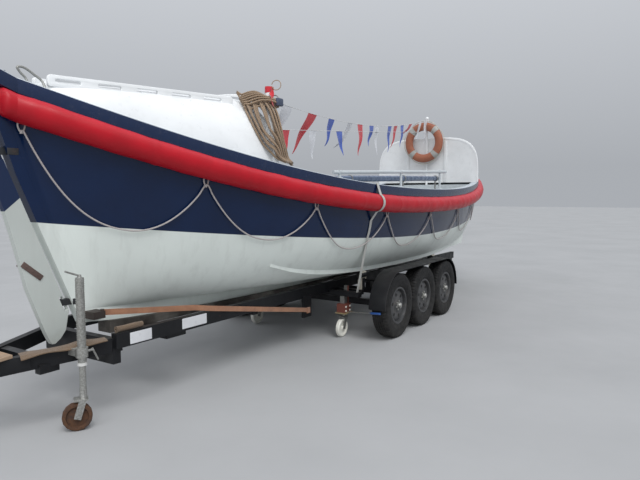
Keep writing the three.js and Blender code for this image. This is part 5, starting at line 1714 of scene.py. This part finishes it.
def castor_leg_faces(at):
    """One for the clamp's faces, two for those under it, three for those of the crank's grip, and
    nought for the rest of the leg."""
    out = np.abs(at[:, 1]) - CASTOR_Y * MM
    kind = np.where((at[:, 2] > 0.216) & (at[:, 2] < 0.334), 1, 0)
    kind = np.where(at[:, 2] <= 0.226, 2, kind)
    kind = np.where(out > 0.09, 0, kind)
    return np.where(out > 0.41, 3, kind)


def castor_bolts():
    """Four bolt heads on the outer side of each clamp."""
    meshes = []
    for side in (-1, 1):
        face = side * (CASTOR_Y + CLAMP_HALF)
        for x in (CASTOR_X - 68, CASTOR_X + 28):
            for z in (248, 298):
                head = [[x, face, z], [x, face + side * 9, z]]
                meshes.append(tube(placed(head), 0.013, 6, (1, 0, 0)))
    return meshes


class LIFEBOAT_OT_castors(bpy.types.Operator):
    """Castor legs under the aft outrigger"""
    bl_idname = "lifeboat.castors"
    bl_label = "Castors"

    def execute(self, context):
        zinc = galvanised("castor_zinc", 0.8)
        nylon = paint("castor_nylon", (0.78, 0.77, 0.7), (0.35, 0.5), (0.4, 0.36, 0.3), 0.5)
        primer = paint("red_primer", (0.16, 0.045, 0.03), (0.5, 0.7), (0.05, 0.03, 0.025), 0.6)
        yellow = paint("passivated", (0.27, 0.21, 0.11), (0.4, 0.6), (0.12, 0.09, 0.05), 0.5)
        grip = paint("grip_blue", (0.02, 0.09, 0.33), (0.3, 0.5), share=0.15)
        for name, _ in SIDES:
            eased(f"castor_leg_{name}", [zinc, primer, yellow, grip], 0.002,
                  choose=castor_leg_faces)
            eased(f"castor_fork_{name}", [zinc], 0.0015, f"castor_swivel_{name}")
            eased(f"castor_wheel_{name}", [nylon], 0.002, f"castor_roller_{name}")
        piece("castor_bolts", castor_bolts(), [nylon])
        return {"FINISHED"}


# Straps, carpet and plank. The carpet lies from its first place to its last on a sloping arm.
CARPET_START, CARPET_STOP = (-5210, -183), (-4660, -399)
CARPET_HALF = 75
CARPET_FLAT = 30
CARPET_THICK = 7
ARM_ROOT_X, ARM_ROOT_Z, ARM_RUN, ARM_DROP = -4550, 492, -1010, 67
ROLL_AFT, ROLL_FORE = -4600, -4350
ROLL_Y, ROLL_Z = -450, 609
ROLL_TURNS, ROLL_PITCH, ROLL_THICK = 1.7, 9.6, 6.5


def ratchet_faces(at):
    """One for the faces of the strap's ratchet, at its after end, and nought elsewhere."""
    return np.where(at[:, 0] < -4.36, 1, 0)


def laid_carpet():
    """A carpet bent over a sloping arm: level across the arm's top and hanging at a waving angle
    past its edges, with small folds along it."""
    c = np.linspace(0, 1, 64)[:, None]
    q = np.linspace(-CARPET_HALF, CARPET_HALF, 17)[None, :]
    (x0, y0), (x1, y1) = CARPET_START, CARPET_STOP
    x, y = x0 + (x1 - x0) * c, y0 + (y1 - y0) * c
    fold = 3 * (1 + np.sin(11 * c)) * np.sin(np.pi * c)
    top = ARM_ROOT_Z - ARM_DROP * (x - ARM_ROOT_X) / ARM_RUN + 57.5 + fold
    bend = 0.28 + 0.2 * np.sin(9 * c + 2 * np.sign(q))
    past = np.maximum(np.abs(q) - CARPET_FLAT, 0)
    out = np.sign(q) * (np.minimum(np.abs(q), CARPET_FLAT) + past * np.cos(bend))
    under = np.stack([x - 0.3655 * out, y - 0.9307 * out, top - past * np.sin(bend)], 2)
    ring = np.concatenate([under + [0, 0, CARPET_THICK], under[:, ::-1]], 1)
    return surface(placed(ring), wrap_v=True, caps=True)


def rolled_carpet():
    """A rolled carpet, which is a spiral that waves along its axis, and the spiral's length in
    metres."""
    turn = np.linspace(0, ROLL_TURNS * 2 * np.pi, 44)
    r = 11 + ROLL_PITCH * turn / (2 * np.pi)
    both = np.concatenate([r, (r - ROLL_THICK)[::-1]])
    swing = np.concatenate([turn, turn[::-1]]) + 0.9
    x = np.linspace(ROLL_AFT, ROLL_FORE, 14)[:, None]
    wave = 1 + 0.05 * np.sin(x / 31)
    ring = points(x, ROLL_Y + both * np.cos(swing) * wave, ROLL_Z + both * np.sin(swing) * wave)
    long = float(np.sum(r[1:] * np.diff(turn))) * MM
    return surface(placed(ring), wrap_v=True, caps=True), long


class LIFEBOAT_OT_straps(bpy.types.Operator):
    """Straps, carpet and plank"""
    bl_idname = "lifeboat.straps"
    bl_label = "Straps and pads"

    def execute(self, context):
        brown = woven("keel_webbing", (0.36, 0.17, 0.09), (0.24, 0.11, 0.06), 600)
        pale = woven("tie_webbing", (0.5, 0.5, 0.47), (0.36, 0.36, 0.33), 600)
        plank = timber("plank_wood", (0.38, 0.25, 0.15), (0.24, 0.15, 0.09), (0.5, 14, 14), 0.45)
        dark = paint("ratchet_iron", (0.035, 0.026, 0.022), (0.5, 0.7), (0.09, 0.045, 0.03), 0.5)
        shag = pile()
        eased("keel_strap", [brown, dark], 0.0008, choose=ratchet_faces)
        eased("tie_down_strap", [pale], 0.0008)
        laid = piece("drawbar_carpet_laid", [laid_carpet()], [shag],
                     stands_for=["drawbar_carpet"])
        spiral, long = rolled_carpet()
        roll = piece("rolled_carpet", [spiral], [shag])
        eased("drawbar_plank", [plank], 0.003)
        return {"FINISHED"}


class LIFEBOAT_PT_panel(bpy.types.Panel):
    """Lists the pieces in the order in which they are built"""
    bl_idname = "LIFEBOAT_PT_panel"
    bl_label = "Lifeboat on its trailer"
    bl_space_type = "VIEW_3D"
    bl_region_type = "UI"
    bl_category = "Lifeboat"

    def draw(self, context):
        for group in (context.scene.lifeboat_sizes, context.scene.lifeboat_colours):
            for name in group.__annotations__:
                self.layout.prop(group, name)
        for operator in OPERATORS:
            self.layout.operator(operator.bl_idname)


OPERATORS = (
    LIFEBOAT_OT_camera, LIFEBOAT_OT_lines, LIFEBOAT_OT_hull, LIFEBOAT_OT_gunwales,
    LIFEBOAT_OT_end_boxes, LIFEBOAT_OT_backbone, LIFEBOAT_OT_fittings, LIFEBOAT_OT_hank,
    LIFEBOAT_OT_bunting, LIFEBOAT_OT_trailer, LIFEBOAT_OT_wheels, LIFEBOAT_OT_jockey,
    LIFEBOAT_OT_castors, LIFEBOAT_OT_straps,
)
CLASSES = (LifeboatColours, LifeboatSizes, *OPERATORS, LIFEBOAT_PT_panel)


def register():
    for one in CLASSES:
        bpy.utils.register_class(one)
    bpy.types.Scene.lifeboat_colours = bpy.props.PointerProperty(type=LifeboatColours)
    bpy.types.Scene.lifeboat_sizes = bpy.props.PointerProperty(type=LifeboatSizes)


def unregister():
    del bpy.types.Scene.lifeboat_sizes
    del bpy.types.Scene.lifeboat_colours
    for one in reversed(CLASSES):
        bpy.utils.unregister_class(one)


def main():
    """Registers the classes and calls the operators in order."""
    register()
    for operator in OPERATORS:
        group, name = operator.bl_idname.split(".")
        getattr(getattr(bpy.ops, group), name)()


if __name__ == "__main__":
    main()
